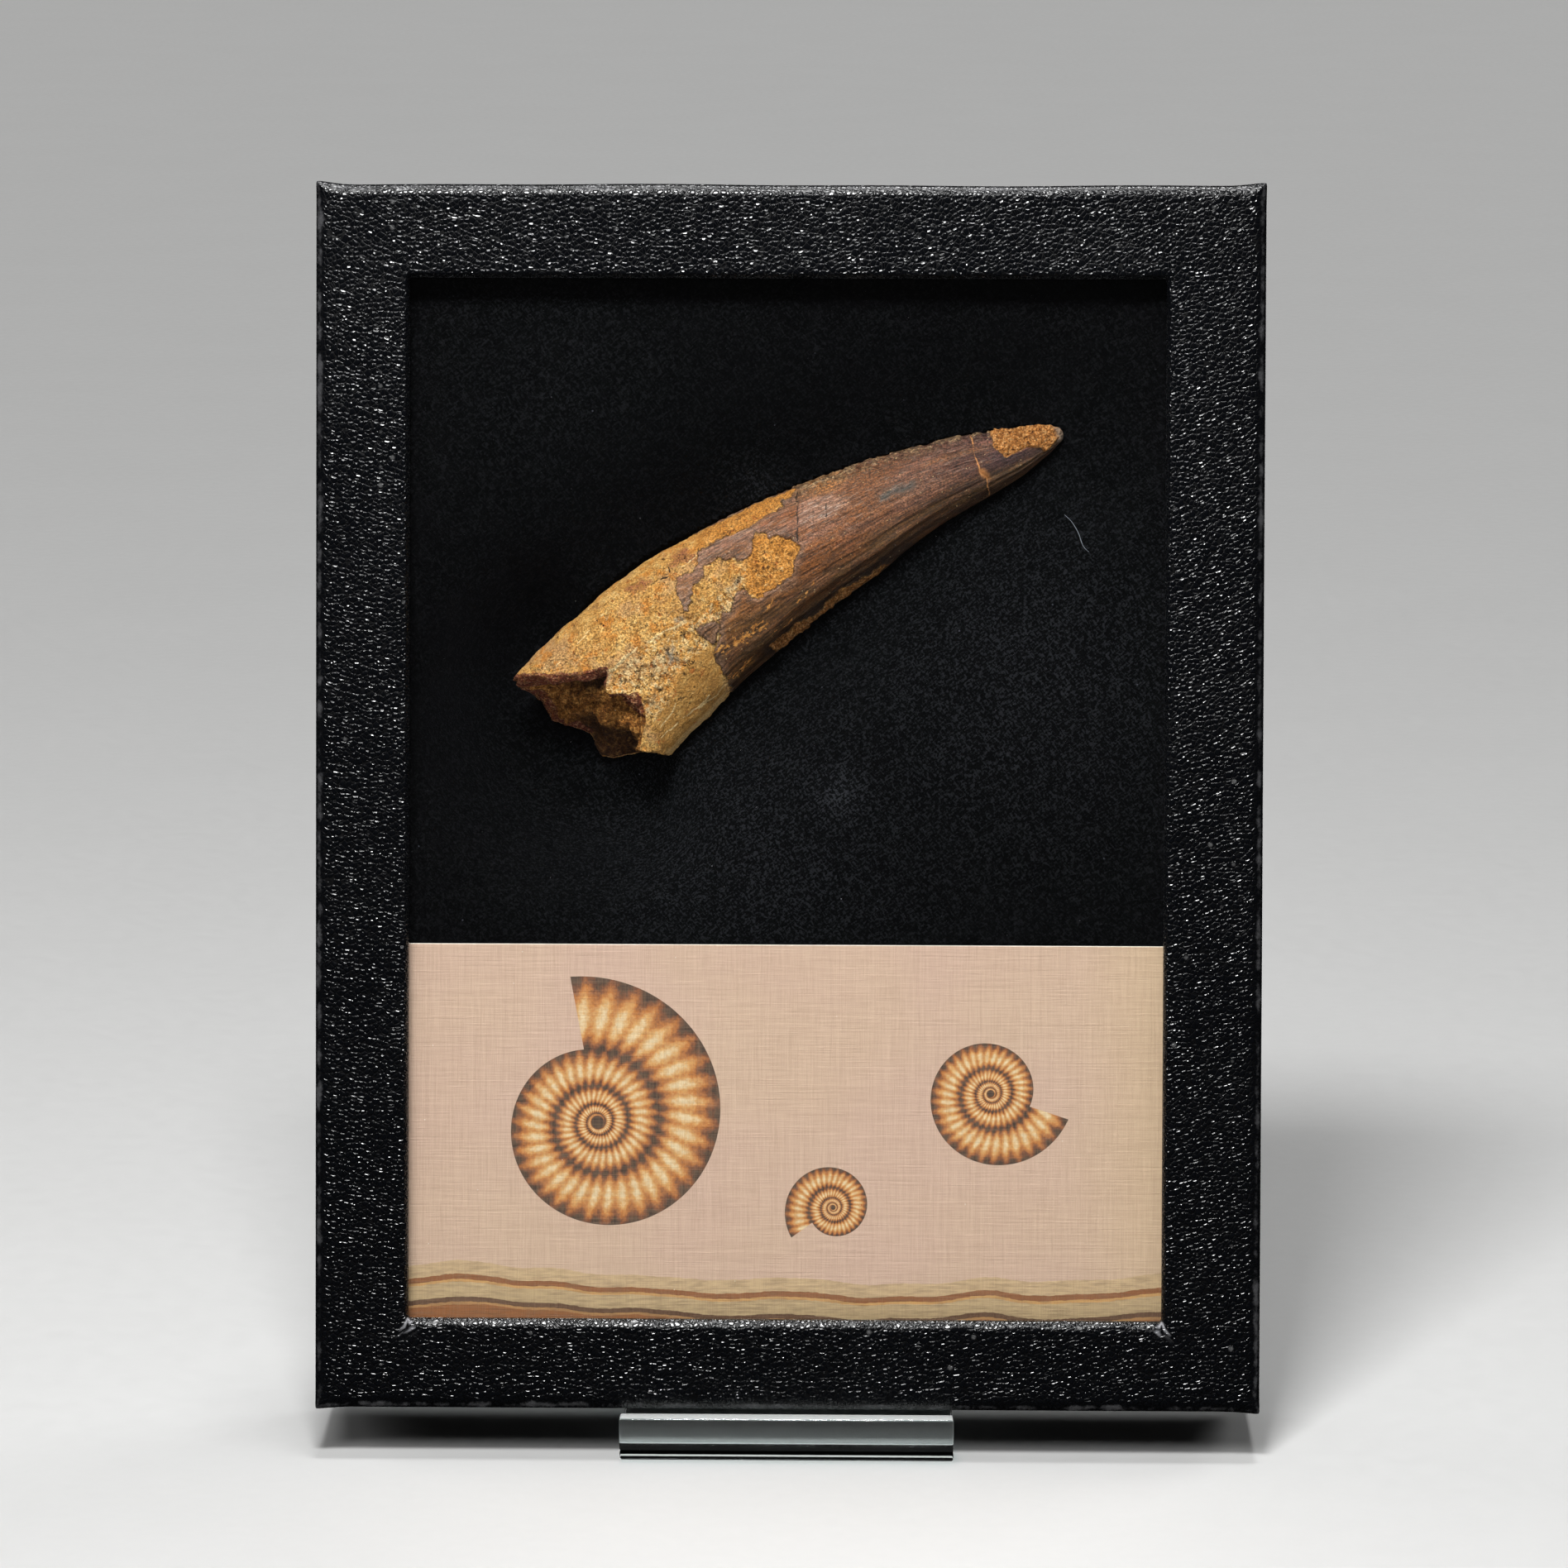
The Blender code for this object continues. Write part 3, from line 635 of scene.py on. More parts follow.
# Outlines of what shows on the tooth's front, in mm across and up as seen through the window
marks = {
    "crown": (
        (1.6, 156.6), (1.0, 152.5), (-0.1, 151.1), (-1.5, 150.6), (-1.5, 149.5), (-2.2, 148.6), (-4.2, 147.8),
        (-6.5, 146.2), (-8.7, 144.9), (-12.0, 144.1), (-15.4, 141.8), (-15.3, 140.1), (-15.8, 138.8),
        (-17.7, 138.2), (-19.1, 137.6), (-18.6, 136.6), (-18.3, 133.8), (-17.4, 132.2), (-16.6, 133.6),
        (-16.4, 135.7), (-15.0, 137.0), (-14.2, 137.9), (-14.5, 139.6), (-13.1, 140.1), (-12.0, 141.2),
        (-10.6, 140.4), (-9.5, 141.0), (-8.6, 140.1), (-7.3, 140.7), (-6.4, 141.8), (-6.3, 143.6),
        (-6.0, 144.9), (-4.1, 145.1), (-3.5, 144.3), (-1.1, 144.4), (0.9, 143.6), (1.7, 142.9), (1.3, 141.8),
        (0.6, 140.7), (0.2, 138.8), (0.1, 137.4), (-1.0, 136.8), (-2.8, 135.8), (-4.2, 135.1), (-5.1, 134.0),
        (-6.2, 134.4), (-7.6, 135.8), (-8.5, 135.2), (-9.2, 134.4), (-9.5, 133.0), (-10.0, 131.9),
        (-11.3, 131.8), (-11.4, 130.3), (-11.8, 126.7), (-12.4, 125.6), (-12.5, 124.5), (-11.8, 123.3),
        (-11.0, 122.1), (-10.3, 121.0), (-9.7, 118.9), (-7.5, 114.1), (51.2, 137.6), (51.0, 170.4),
    ),
    "lonePlate": (
        (-15.5, 129.0), (-14.1, 129.9), (-12.4, 130.4), (-11.8, 129.7), (-12.1, 126.9), (-12.8, 126.6),
        (-14.1, 127.5), (-15.0, 128.1),
    ),
    "lowerStrip": (
        (-4.0, 125.7), (-3.6, 126.4), (3.7, 131.9), (8.2, 135.7), (14.3, 139.9), (17.7, 142.4), (19.9, 143.8),
        (22.4, 143.0), (17.3, 136.5), (7.1, 128.3), (-1.1, 122.7),
    ),
    "tipSand": (
        (32.9, 161.6), (33.3, 164.2), (45.6, 164.9), (44.8, 162.2), (44.3, 160.8), (42.6, 159.2),
        (41.8, 158.6), (41.3, 159.3), (39.5, 159.3), (38.0, 158.9), (36.1, 158.0), (35.3, 157.8),
        (34.4, 158.6), (33.7, 159.4), (33.5, 160.5),
    ),
    "redPatch": (
        (-20.5, 141.2), (-19.7, 142.0), (-18.3, 142.8), (-16.5, 142.6), (-15.4, 141.8), (-15.4, 140.7),
        (-17.2, 140.1), (-18.8, 139.4), (-19.9, 139.7),
    ),
    "redBrownPatch": (
        (-28.1, 135.7), (-27.9, 136.2), (-26.1, 136.8), (-24.7, 137.4), (-23.2, 137.1), (-23.5, 136.3),
        (-25.1, 135.7), (-26.8, 135.2),
    ),
    "bluePatches": (
        ((-20.6, 125.1), (-19.6, 126.0), (-18.2, 125.6), (-18.2, 123.7), (-19.6, 122.9), (-20.4, 123.7)),
        ((-11.4, 135.8), (-9.0, 137.4), (-8.6, 136.6), (-10.3, 135.5)),
        ((-19.6, 130.3), (-17.7, 131.2), (-17.4, 130.5), (-19.1, 129.6)),
    ),
    "olive": (
        (-21.2, 109.3), (-22.6, 112.7), (-21.2, 115.2), (-19.6, 118.2), (-18.8, 120.9), (-17.7, 122.6),
        (-15.1, 125.1), (-12.8, 126.2), (-12.2, 124.3), (-10.3, 120.7), (-10.3, 116.9), (-18.5, 107.2),
    ),
    "tongue": (
        (-8.0, 140.5), (-6.4, 144.9), (-1.1, 145.2), (2.2, 143.2), (1.0, 138.0), (-1.5, 136.0), (-5.1, 133.6),
        (-7.0, 136.0),
    ),
    "upperStrip": (
        (3.5, 158.5), (0.5, 151.5), (-3.0, 149.0), (-8.0, 144.9), (-13.0, 143.2), (-15.5, 142.3),
        (-16.5, 145.0), (-10.0, 150.0), (-2.0, 156.5),
    ),
    "crumbly": (
        (-31.5, 119.5), (-29.5, 122.0), (-25.4, 125.6), (-21.3, 128.6), (-15.1, 131.6), (-11.7, 135.3),
        (-8.3, 138.1), (-4.2, 143.6), (0.6, 142.9), (-0.1, 137.4), (-5.5, 134.4), (-9.6, 131.7),
        (-11.9, 126.7), (-15.1, 124.8), (-18.8, 121.2), (-19.6, 117.5), (-21.9, 113.8), (-24.2, 115.2),
        (-24.8, 118.2), (-28.8, 117.4),
    ),
    "smoothEdge": (
        (-46.2, 119.5), (-40.4, 124.3), (-35.0, 128.8), (-29.5, 134.3), (-24.7, 137.4), (-19.9, 141.2),
        (-14.5, 143.5), (-14.5, 151.1), (-35.0, 138.7), (-48.7, 123.6),
    ),
    "vein": (
        (-30.4, 121.6), (-28.8, 123.0), (-26.7, 124.8), (-25.4, 125.7), (-24.0, 126.7), (-22.0, 128.1),
        (-19.9, 129.2), (-17.2, 130.3),
    ),
    "ringCrack": (
        (29.5, 162.3), (30.1, 159.4), (30.5, 158.0), (30.8, 156.7), (31.3, 155.3), (32.3, 154.2), (33.0, 151.3),
    ),
    "ringPatch": ((31.0, 156.4), (32.0, 155.6), (32.8, 154.2), (32.0, 153.9), (31.2, 154.8)),
    "cracks": (
        ((1.2, 151.7), (1.0, 149.1), (1.0, 146.6), (1.4, 143.7)),
        ((5.6, 152.5), (5.8, 150.3), (5.8, 147.7)),
        ((-20.5, 139.7), (-19.9, 138.7)),
        ((-32.2, 130.8), (-31.1, 129.9)),
        ((-23.2, 136.7), (-21.7, 137.4), (-20.2, 138.2)),
    ),
    # rows of yellow grains caught in the crown's furrows, with how wide each row is
    "flecks": (
        (((-11.4, 125.6), (-7.6, 127.7), (-4.2, 130.1)), 1.2), (((-3.6, 132.5), (-2.9, 133.7)), 0.45),
        (((1.0, 133.4), (2.0, 134.4), (3.9, 136.9)), 0.32), (((-3.1, 128.0), (0.5, 130.5)), 0.2),
        (((-10.5, 120.5), (-6.0, 124.3)), 0.7),
    ),
    "paleLines": (
        ((-39.1, 123.1), (-35.0, 127.2), (-31.4, 131.2), (-28.9, 133.3)),
        ((-22.6, 111.1), (-21.2, 112.7), (-19.7, 114.8), (-18.6, 116.7)),
        ((-21.2, 110.9), (-17.1, 114.4), (-13.0, 118.0)),
        ((-17.1, 114.4), (-11.6, 118.5), (-9.6, 120.7)),
        ((-9.9, 131.9), (-11.3, 129.6), (-11.8, 127.0)),
        ((-20.2, 139.2), (-17.0, 140.0), (-15.3, 141.9)),
    ),
    "blueStreak": ((15.2, 150.9), (17.0, 152.0), (20.1, 152.9)),
    "warmPatch": ((0.3, 152.2), (2.6, 154.6), (6.0, 156.3), (8.9, 156.6), (9.3, 153.9), (7.1, 151.9), (4.0, 151.1), (0.6, 150.3)),
    "glintPatch": ((0.8, 149.7), (2.6, 150.8), (5.4, 151.3), (8.4, 151.4), (9.6, 149.9), (6.6, 147.4), (4.0, 146.3), (1.2, 145.7)),
    "redWall": (
        (-27.8, 117.4), (-26.4, 118.2), (-25.4, 118.6), (-24.4, 117.9), (-24.2, 116.1), (-24.2, 114.4),
        (-25.3, 115.2), (-26.7, 116.5),
    ),
}


def toothWidth(station):
    return toothSize(station, 1)


def toothThickness(station):
    return toothSize(station, 2)


def toothSize(station, column):
    sections = tooth["sections"]
    last = sections[-1]
    share = np.clip((station - last[0]) / (toothLength - last[0]), 0, 1)
    end = np.sqrt(1 - share**2) * last[column]  # the blunt tip closes like the end of an egg
    sized = smoothBetween([(row[0], row[column]) for row in sections], np.minimum(station, last[0]))
    return np.where(station > last[0], end, sized)


def toothAxis(station):
    t = np.asarray(station)[:, None] / toothLength
    middle = toothRoot + toothChord * t * toothLength + toothAcross * 4 * tooth["bend"] * t * (1 - t)
    along = toothChord + toothAcross * 4 * tooth["bend"] * (1 - 2 * t) / toothLength
    along /= np.linalg.norm(along, axis=1)[:, None]
    across = np.column_stack((-along[:, 1], along[:, 0]))
    return middle + across * smoothBetween(tooth["sway"], np.clip(station, -7, 92))[:, None], across


def toothDepth(station):
    sunk = tooth["tipSinks"] * np.maximum(station, 0) / toothLength
    return tooth["front"] + sunk + toothThickness(station) / 2


def toothPoints(station, angle, proud=0.0):
    middle, across = toothAxis(station)
    side = (toothWidth(station) / 2 + proud) * np.cos(angle)
    back = (toothThickness(station) / 2 + proud) * np.sin(angle)
    place = middle + across * side[:, None]
    return np.column_stack((place[:, 0], toothDepth(station) + back, place[:, 1]))


def rimStation(angle):
    rim = tooth["rim"]
    wrapped = [(a - 360, s) for a, s in rim[-2:]] + list(rim) + [(a + 360, s) for a, s in rim[:2]]
    spot = np.column_stack((14 * np.cos(angle), 14 * np.sin(angle), np.zeros(len(angle))))
    jags = tooth["rimJags"] * (noiseAt(spot, 2.1, 1) + 0.6 * noiseAt(spot, 0.9, 2))
    return smoothBetween(wrapped, np.degrees(angle) % 360) + jags


def cameraPlace():
    yaw, pitch, roll = camera["yaw"], camera["pitch"], camera["roll"]
    ahead = np.array((math.sin(yaw) * math.cos(pitch), math.cos(yaw) * math.cos(pitch), -math.sin(pitch)))
    level_ = np.array((math.cos(yaw), -math.sin(yaw), 0.0))
    up = np.cross(level_, ahead)
    right = level_ * math.cos(roll) + up * math.sin(roll)
    above = -level_ * math.sin(roll) + up * math.cos(roll)
    return np.array(camera["aim"]) - ahead * camera["away"], right, above, ahead


def seenPlaces(points, plane=7.0):
    # where points are seen on a plane that far behind the box's front
    eye = cameraPlace()[0]
    reach = (plane - eye[1]) / (points[:, 1] - eye[1])
    return (eye + (points - eye) * reach[:, None])[:, (0, 2)]


def toothMarks(station, angle, points):
    # the masks that the shape and the material share, one value per point
    seen = seenPlaces(points)
    facing = fade(-np.sin(angle), -0.15, 0.12)
    ragged = 0.24 * noiseAt(points, 1.6, 11) + 0.3 * noiseAt(points, 0.7, 12)
    wobbly = seen + 0.3 * np.column_stack((noiseAt(points, 1.2, 18), noiseAt(points, 1.2, 19)))

    def patch(name, behind=-3.0):
        return facing * np.clip(insideBy(seen, marks[name]), -3, 3) + (1 - facing) * behind

    behind = np.clip(station - 33 - 5 * noiseAt(points, 9, 13) - 2 * noiseAt(points, 3, 14), -3, 3)
    crown = patch("crown", behind) + ragged
    crown = np.maximum(crown, patch("lonePlate") + ragged * 0.6)
    strip = patch("lowerStrip") - 0.8 - 0.5 * fade(seen[:, 0], 6, 18) + 0.5 * ragged + 0.3 * noiseAt(points, 3.4, 47)
    sand = patch("tipSand") + ragged * 0.6
    # loose crumbs of sandstone stay on the upper edge of the crown
    upper = fade(np.cos(angle), 0.72, 0.95) * fade(station, 38, 50)
    dusting = upper * fade(noiseAt(points, 0.7, 15) + 0.5 * noiseAt(points, 1.9, 16), -0.3, 0.4)
    stuck = np.maximum(strip, sand)
    skin = np.minimum(crown, -stuck)
    veins = fromLine(wobbly, marks["vein"])
    pale = np.min([fromLine(wobbly, line) for line in marks["paleLines"]], axis=0)
    flecks = np.max([bell(fromLine(wobbly, line), width) for line, width in marks["flecks"]], axis=0)
    ring = np.where(facing > 0.5, fromLine(wobbly, marks["ringCrack"]), np.abs(station - 77.2))
    cracks = np.min([fromLine(wobbly, line) for line in marks["cracks"]], axis=0)
    cracks = np.where(facing > 0.5, cracks, 5.0)
    blue = np.max([insideBy(seen, outline) for outline in marks["bluePatches"]], axis=0)
    red = np.maximum(patch("redPatch"), patch("redBrownPatch"))
    return {
        "skin": skin,
        "stuck": stuck,
        "sand": sand,
        "dusting": dusting,
        "crumbly": fade(patch("crumbly", 0.5) + ragged, -0.6, 0.6),
        "smooth": fade(np.maximum(patch("smoothEdge"), patch("olive")) + ragged, -0.5, 0.7),
        "olive": fade(patch("olive") + 1.5 * ragged, -0.7, 1.0),
        "tongue": fade(np.maximum(patch("tongue"), patch("upperStrip")) + ragged, -0.6, 0.6),
        "red": fade(red + 2.4 * ragged, -0.4, 0.7),
        "blue": facing * fade(blue + 2.0 * ragged, -0.3, 0.9),
        "vein": facing * bell(veins - 0.1, 0.17) * fade(noiseAt(points, 1.8, 17), -0.9, -0.2),
        "veinShade": facing * bell(veins, 0.2) * (1 - fade(seen[:, 0], -28.5, -26.5)),
        "paleLine": facing * bell(pale, 0.16) * fade(noiseAt(points, 2.5, 9), -0.7, -0.1),
        "flecks": facing * flecks,
        "ring": bell(ring, 0.2),
        "ringPatch": fade(patch("ringPatch") + ragged, -0.4, 0.4),
        "crack": bell(cracks, 0.14) * fade(noiseAt(points, 1.4, 20), -0.8, -0.2),
        "blueStreak": facing * bell(fromLine(wobbly, marks["blueStreak"]), 0.75),
        "redWall": fade(patch("redWall") + ragged, -0.3, 0.4),
        "warmPatch": fade(patch("warmPatch") + 1.5 * ragged, -0.8, 0.9),
        "glintPatch": fade(patch("glintPatch") + 1.5 * ragged, -0.9, 1.2),
    }


def toothRelief(station, angle, points, found):
    # how far the surface stands out from a plain bent cone, in mm
    turned = np.column_stack((11 * np.cos(angle), 11 * np.sin(angle), station / 16))
    enamel = fade(found["skin"], -0.12, 0.12)
    bare = 1 - enamel
    relief = tooth["enamel"] * (enamel - 1)
    calm = 1 - 0.75 * found["tongue"]
    crumble = bare * (0.45 + 0.55 * found["crumbly"]) * (1 - 0.6 * found["smooth"]) * calm
    relief += crumble * (0.2 * roughAt(points, 2.6, 21) + 0.13 * roughAt(points, 1.0, 24, 2))
    relief -= crumble * 0.3 * fade(noiseAt(points, 1.0, 27) + 0.5 * noiseAt(points, 0.5, 28), 0.2, 0.7)
    # thin layers have flaked off here and there and left low steps
    layers = fade(noiseAt(points, 4.2, 38), -0.06, 0.06) + fade(roughAt(points, 2.4, 39, 2), -0.05, 0.05)
    relief += 0.1 * bare * calm * (layers - 1)
    relief -= 0.16 * bare * found["crumbly"]
    relief += 0.07 * roughAt(points, 6.0, 29) * (0.4 + bare)
    stuckOn = fade(found["stuck"], -0.1, 0.25)
    relief += stuckOn * (0.26 + 0.2 * roughAt(points, 1.0, 31, 2))
    relief += found["dusting"] * 0.24
    upper = fade(np.cos(angle), 0.6, 0.9) * fade(station, 16, 30)
    relief += upper * (0.1 * noiseAt(points, 0.9, 48) + 0.1 * noiseAt(points, 0.5, 49))
    ridges = 0.08 * noiseAt(turned, 1.25, 33) + 0.05 * noiseAt(turned, 0.6, 34)
    lowerSide = fade(-np.cos(angle), 0.15, 0.75) * fade(station, 26, 40) * (1 - fade(station, 60, 72))
    relief += enamel * (ridges + lowerSide * 0.3 * noiseAt(turned, 1.7, 35))
    relief += 0.06 * (1 - bare) * roughAt(points, 3.0, 37, 2)
    groove = tooth["groove"]
    stretch = fade(station, groove["from"], groove["from"] + 8) * (1 - fade(station, groove["to"] - 10, groove["to"]))
    found["groove"] = stretch * bell(np.degrees(angle) - groove["angle"], groove["spread"])
    relief -= groove["depth"] * found["groove"]
    relief -= 0.22 * found["ring"] + 0.2 * found["crack"] + 0.22 * found["veinShade"] * bare
    relief += 0.1 * found["vein"]
    return relief


def toothMesh():
    rings, sides = tooth["rings"], tooth["sides"]
    turn = 2 * math.pi * np.arange(sides) / sides
    angles = turn - tooth["frontCrowding"] * np.cos(turn)
    rim = rimStation(angles)
    share = 1 - (1 - np.arange(rings) / rings) ** tooth["tipCrowding"]
    station = (rim + (toothLength - rim) * share[:, None]).ravel()
    angle = np.tile(angles, rings)
    plain = toothPoints(station, angle)
    found = toothMarks(station, angle, plain)
    relief = toothRelief(station, angle, plain, found)
    relief *= fade(toothLength - station, 0.0, 1.5)
    outside = toothPoints(station, angle, relief)
    # the broken root: rings from just inside the rim to the middle of the hollow
    first = outside[:sides]
    centre = first.mean(axis=0)
    inward = np.array((toothChord[0], 0.0, toothChord[1]))
    hollow = []
    underLip = fade(np.cos(angles - math.radians(tooth["lip"])), 0.45, 0.8)
    lowSide = fade(-np.cos(angles - math.radians(tooth["lip"])), -0.3, 0.5)
    for k in range(1, tooth["hollowRings"] + 1):
        part = 1 - k / (tooth["hollowRings"] + 1)
        spot = centre + (first - centre) * part
        lumps = 0.75 * roughAt(spot, 3.4, 41) + 0.5 * roughAt(spot, 1.3, 44, 2) + 0.3 * noiseAt(spot, 0.6, 46)
        sunk = smoothBetween(tooth["hollow"], np.array([part]))[0]
        # the filling is worn back under the upper lip and bulges below it
        sunk = sunk - 1.3 * lowSide * bell(part - 0.5, 0.3)
        sunk = sunk + underLip * (3.2 * bell(part - 0.5, 0.16) - 1.2 * bell(part - 0.78, 0.13))
        hollow.append(spot + inward * (sunk + lumps * fade(1 - part, 0.0, 0.07))[:, None])
    # the crust at the lip, on the right wall and along the lower rim
    wall = fade(np.cos(angles - math.radians(tooth["wall"])), 0.93, 0.98)
    foot = fade(np.cos(angles - math.radians(tooth["foot"])), 0.75, 0.9)
    shares = 1 - np.arange(1, tooth["hollowRings"] + 1) / (tooth["hollowRings"] + 1)
    crust = [np.maximum.reduce([underLip * fade(part, 0.58, 0.68), wall * fade(part, 0.55, 0.7),
                                foot * fade(part, 0.84, 0.95)]) for part in shares]
    lobe = fade(np.cos(angles - math.radians(tooth["lobe"])), 0.75, 0.95)
    shaded = [np.maximum(underLip * bell(part - 0.48, 0.2), lobe * fade(part, 0.3, 0.6)) for part in shares]
    beyond = station - np.tile(rim, rings)
    found["maroon"] = np.tile(np.maximum(underLip, 0.7 * foot), rings) * (1 - fade(beyond, 0.1, 0.9))
    found["maroon"] = np.maximum(found["maroon"], found["redWall"])
    found["shaded"] = np.zeros(len(station))
    hollow = np.vstack(hollow)
    redWall = fade(insideBy(seenPlaces(hollow), marks["redWall"]), -0.3, 0.4).reshape(-1, sides)
    inside = {"maroon": np.maximum(crust, redWall), "shaded": np.array(shaded) * (1 - redWall)}
    return station, angle, found, outside, hollow, centre, inside


def addTooth(material):
    rings, sides = tooth["rings"], tooth["sides"]
    station, angle, found, outside, hollow, centre, inside = toothMesh()
    tip = toothPoints(np.array([toothLength]), np.array([0.0]))
    inward = np.array((toothChord[0], 0.0, toothChord[1]))
    middle = centre + inward * tooth["hollow"][0][1]
    rows = np.vstack((hollow.reshape(-1, sides, 3)[::-1].reshape(-1, 3), outside))
    count = len(rows) // sides
    faces = gridFaces(count, sides)
    top, bottom = len(rows), len(rows) + 1
    last = (count - 1) * sides
    faces += [[last + k, last + (k + 1) % sides, top] for k in range(sides)]
    faces += [[k, (k + 1) % sides, bottom] for k in range(sides)]
    points = np.vstack((rows, tip, [middle]))
    piece = addPiece("fossil_tooth", stand(points), faces, material)
    hollowCount = len(hollow)
    shares = np.repeat(1 - np.arange(1, tooth["hollowRings"] + 1) / (tooth["hollowRings"] + 1), sides)[::-1]

    def whole(outer, inner):
        inner = np.full(hollowCount, inner) if np.isscalar(inner) else inner
        return np.concatenate((inner, outer, outer[-1:], inner[:1]))

    names = ("groove", "dusting", "crumbly", "smooth", "olive", "tongue", "red", "blue", "vein", "ring", "crack",
             "ringPatch", "blueStreak", "veinShade", "paleLine", "flecks", "warmPatch", "glintPatch")
    for name in names:
        store(piece, name, whole(found[name], 0.0))
    for name, values in inside.items():
        store(piece, name, whole(found[name], values[::-1].ravel()))
    store(piece, "skin", whole(np.clip(found["skin"], -2, 2), -2.0))
    store(piece, "sand", whole(np.clip(found["stuck"], -2, 2), -2.0))
    store(piece, "hollow", whole(np.zeros(len(station)), 1.0))
    store(piece, "fromRim", whole(np.minimum(station - np.tile(rimStation(angle[:sides]), rings), 20), (shares - 1) * 12))
    store(piece, "station", whole(station / toothLength, 0.0))
    lowSide = whole(-np.cos(angle), 0.0)
    store(piece, "lowSide", lowSide)
    turned = np.column_stack((11 * np.cos(angle), 11 * np.sin(angle), station))
    spots = rows[:hollowCount]
    store(piece, "growth", np.vstack((spots, turned, turned[-1:], spots[:1])) / 1000)
    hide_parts("tooth")
    return piece


# Tooth: material
fossil = {
    "ochre": ((0.05, (0.12, 0.048, 0.012)), (0.28, (0.36, 0.165, 0.038)), (0.5, (0.56, 0.29, 0.08)),
              (0.72, (0.68, 0.41, 0.14)), (0.95, (0.8, 0.6, 0.31))),
    "tongue": ((0.1, (0.2, 0.068, 0.012)), (0.5, (0.5, 0.205, 0.04)), (0.9, (0.68, 0.36, 0.11))),
    "olive": ((0.1, (0.19, 0.085, 0.02)), (0.5, (0.42, 0.205, 0.05)), (0.9, (0.6, 0.37, 0.13))),
    "enamel": ((0.3, (0.16, 0.06, 0.016)), (0.48, (0.15, 0.05, 0.0135)), (0.66, (0.128, 0.047, 0.0165)),
               (0.8, (0.068, 0.0265, 0.0165)), (0.9, (0.046, 0.021, 0.021))),
    "furrow": (0.014, 0.0045, 0.0015, 1),
    "greyish": (0.18, 0.105, 0.07, 1),
    "mauve": (0.19, 0.09, 0.06, 1),
    "beige": (0.45, 0.25, 0.115, 1),
    "pale": (0.3, 0.17, 0.12, 1),
    "glint": (0.55, 0.42, 0.34, 1),
    "reddish": (0.2, 0.06, 0.034, 1),
    "warm": (0.3, 0.12, 0.03, 1),
    "oliveBrown": (0.1, 0.05, 0.014, 1),
    "crust": ((0.25, (0.03, 0.015, 0.008)), (0.55, (0.17, 0.1, 0.05)), (0.85, (0.5, 0.33, 0.18))),
    "undersideShade": (0.028, 0.011, 0.0035, 1),
    "pit": (0.045, 0.017, 0.005, 1),
    "orange": (0.52, 0.19, 0.03, 1),
    "rust": (0.34, 0.1, 0.02, 1),
    "pink": (0.46, 0.225, 0.12, 1),
    "maroon": (0.125, 0.026, 0.015, 1),
    "redBrown": (0.29, 0.1, 0.043, 1),
    "cream": (0.8, 0.58, 0.29, 1),
    "grey": (0.5, 0.39, 0.22, 1),
    "bluish": (0.3, 0.24, 0.17, 1),
    "sand": ((0.15, (0.12, 0.038, 0.008)), (0.5, (0.36, 0.134, 0.029)), (0.9, (0.62, 0.33, 0.13))),
    "matrix": ((0.1, (0.03, 0.009, 0.002)), (0.5, (0.24, 0.086, 0.015)), (0.95, (0.66, 0.33, 0.09))),
    "shaded": (0.022, 0.007, 0.0016, 1),
}


def lighten(tree, colour, factor):
    return put(tree, "VectorMath", {0: colour, 3: factor}, operation="SCALE").outputs[0]


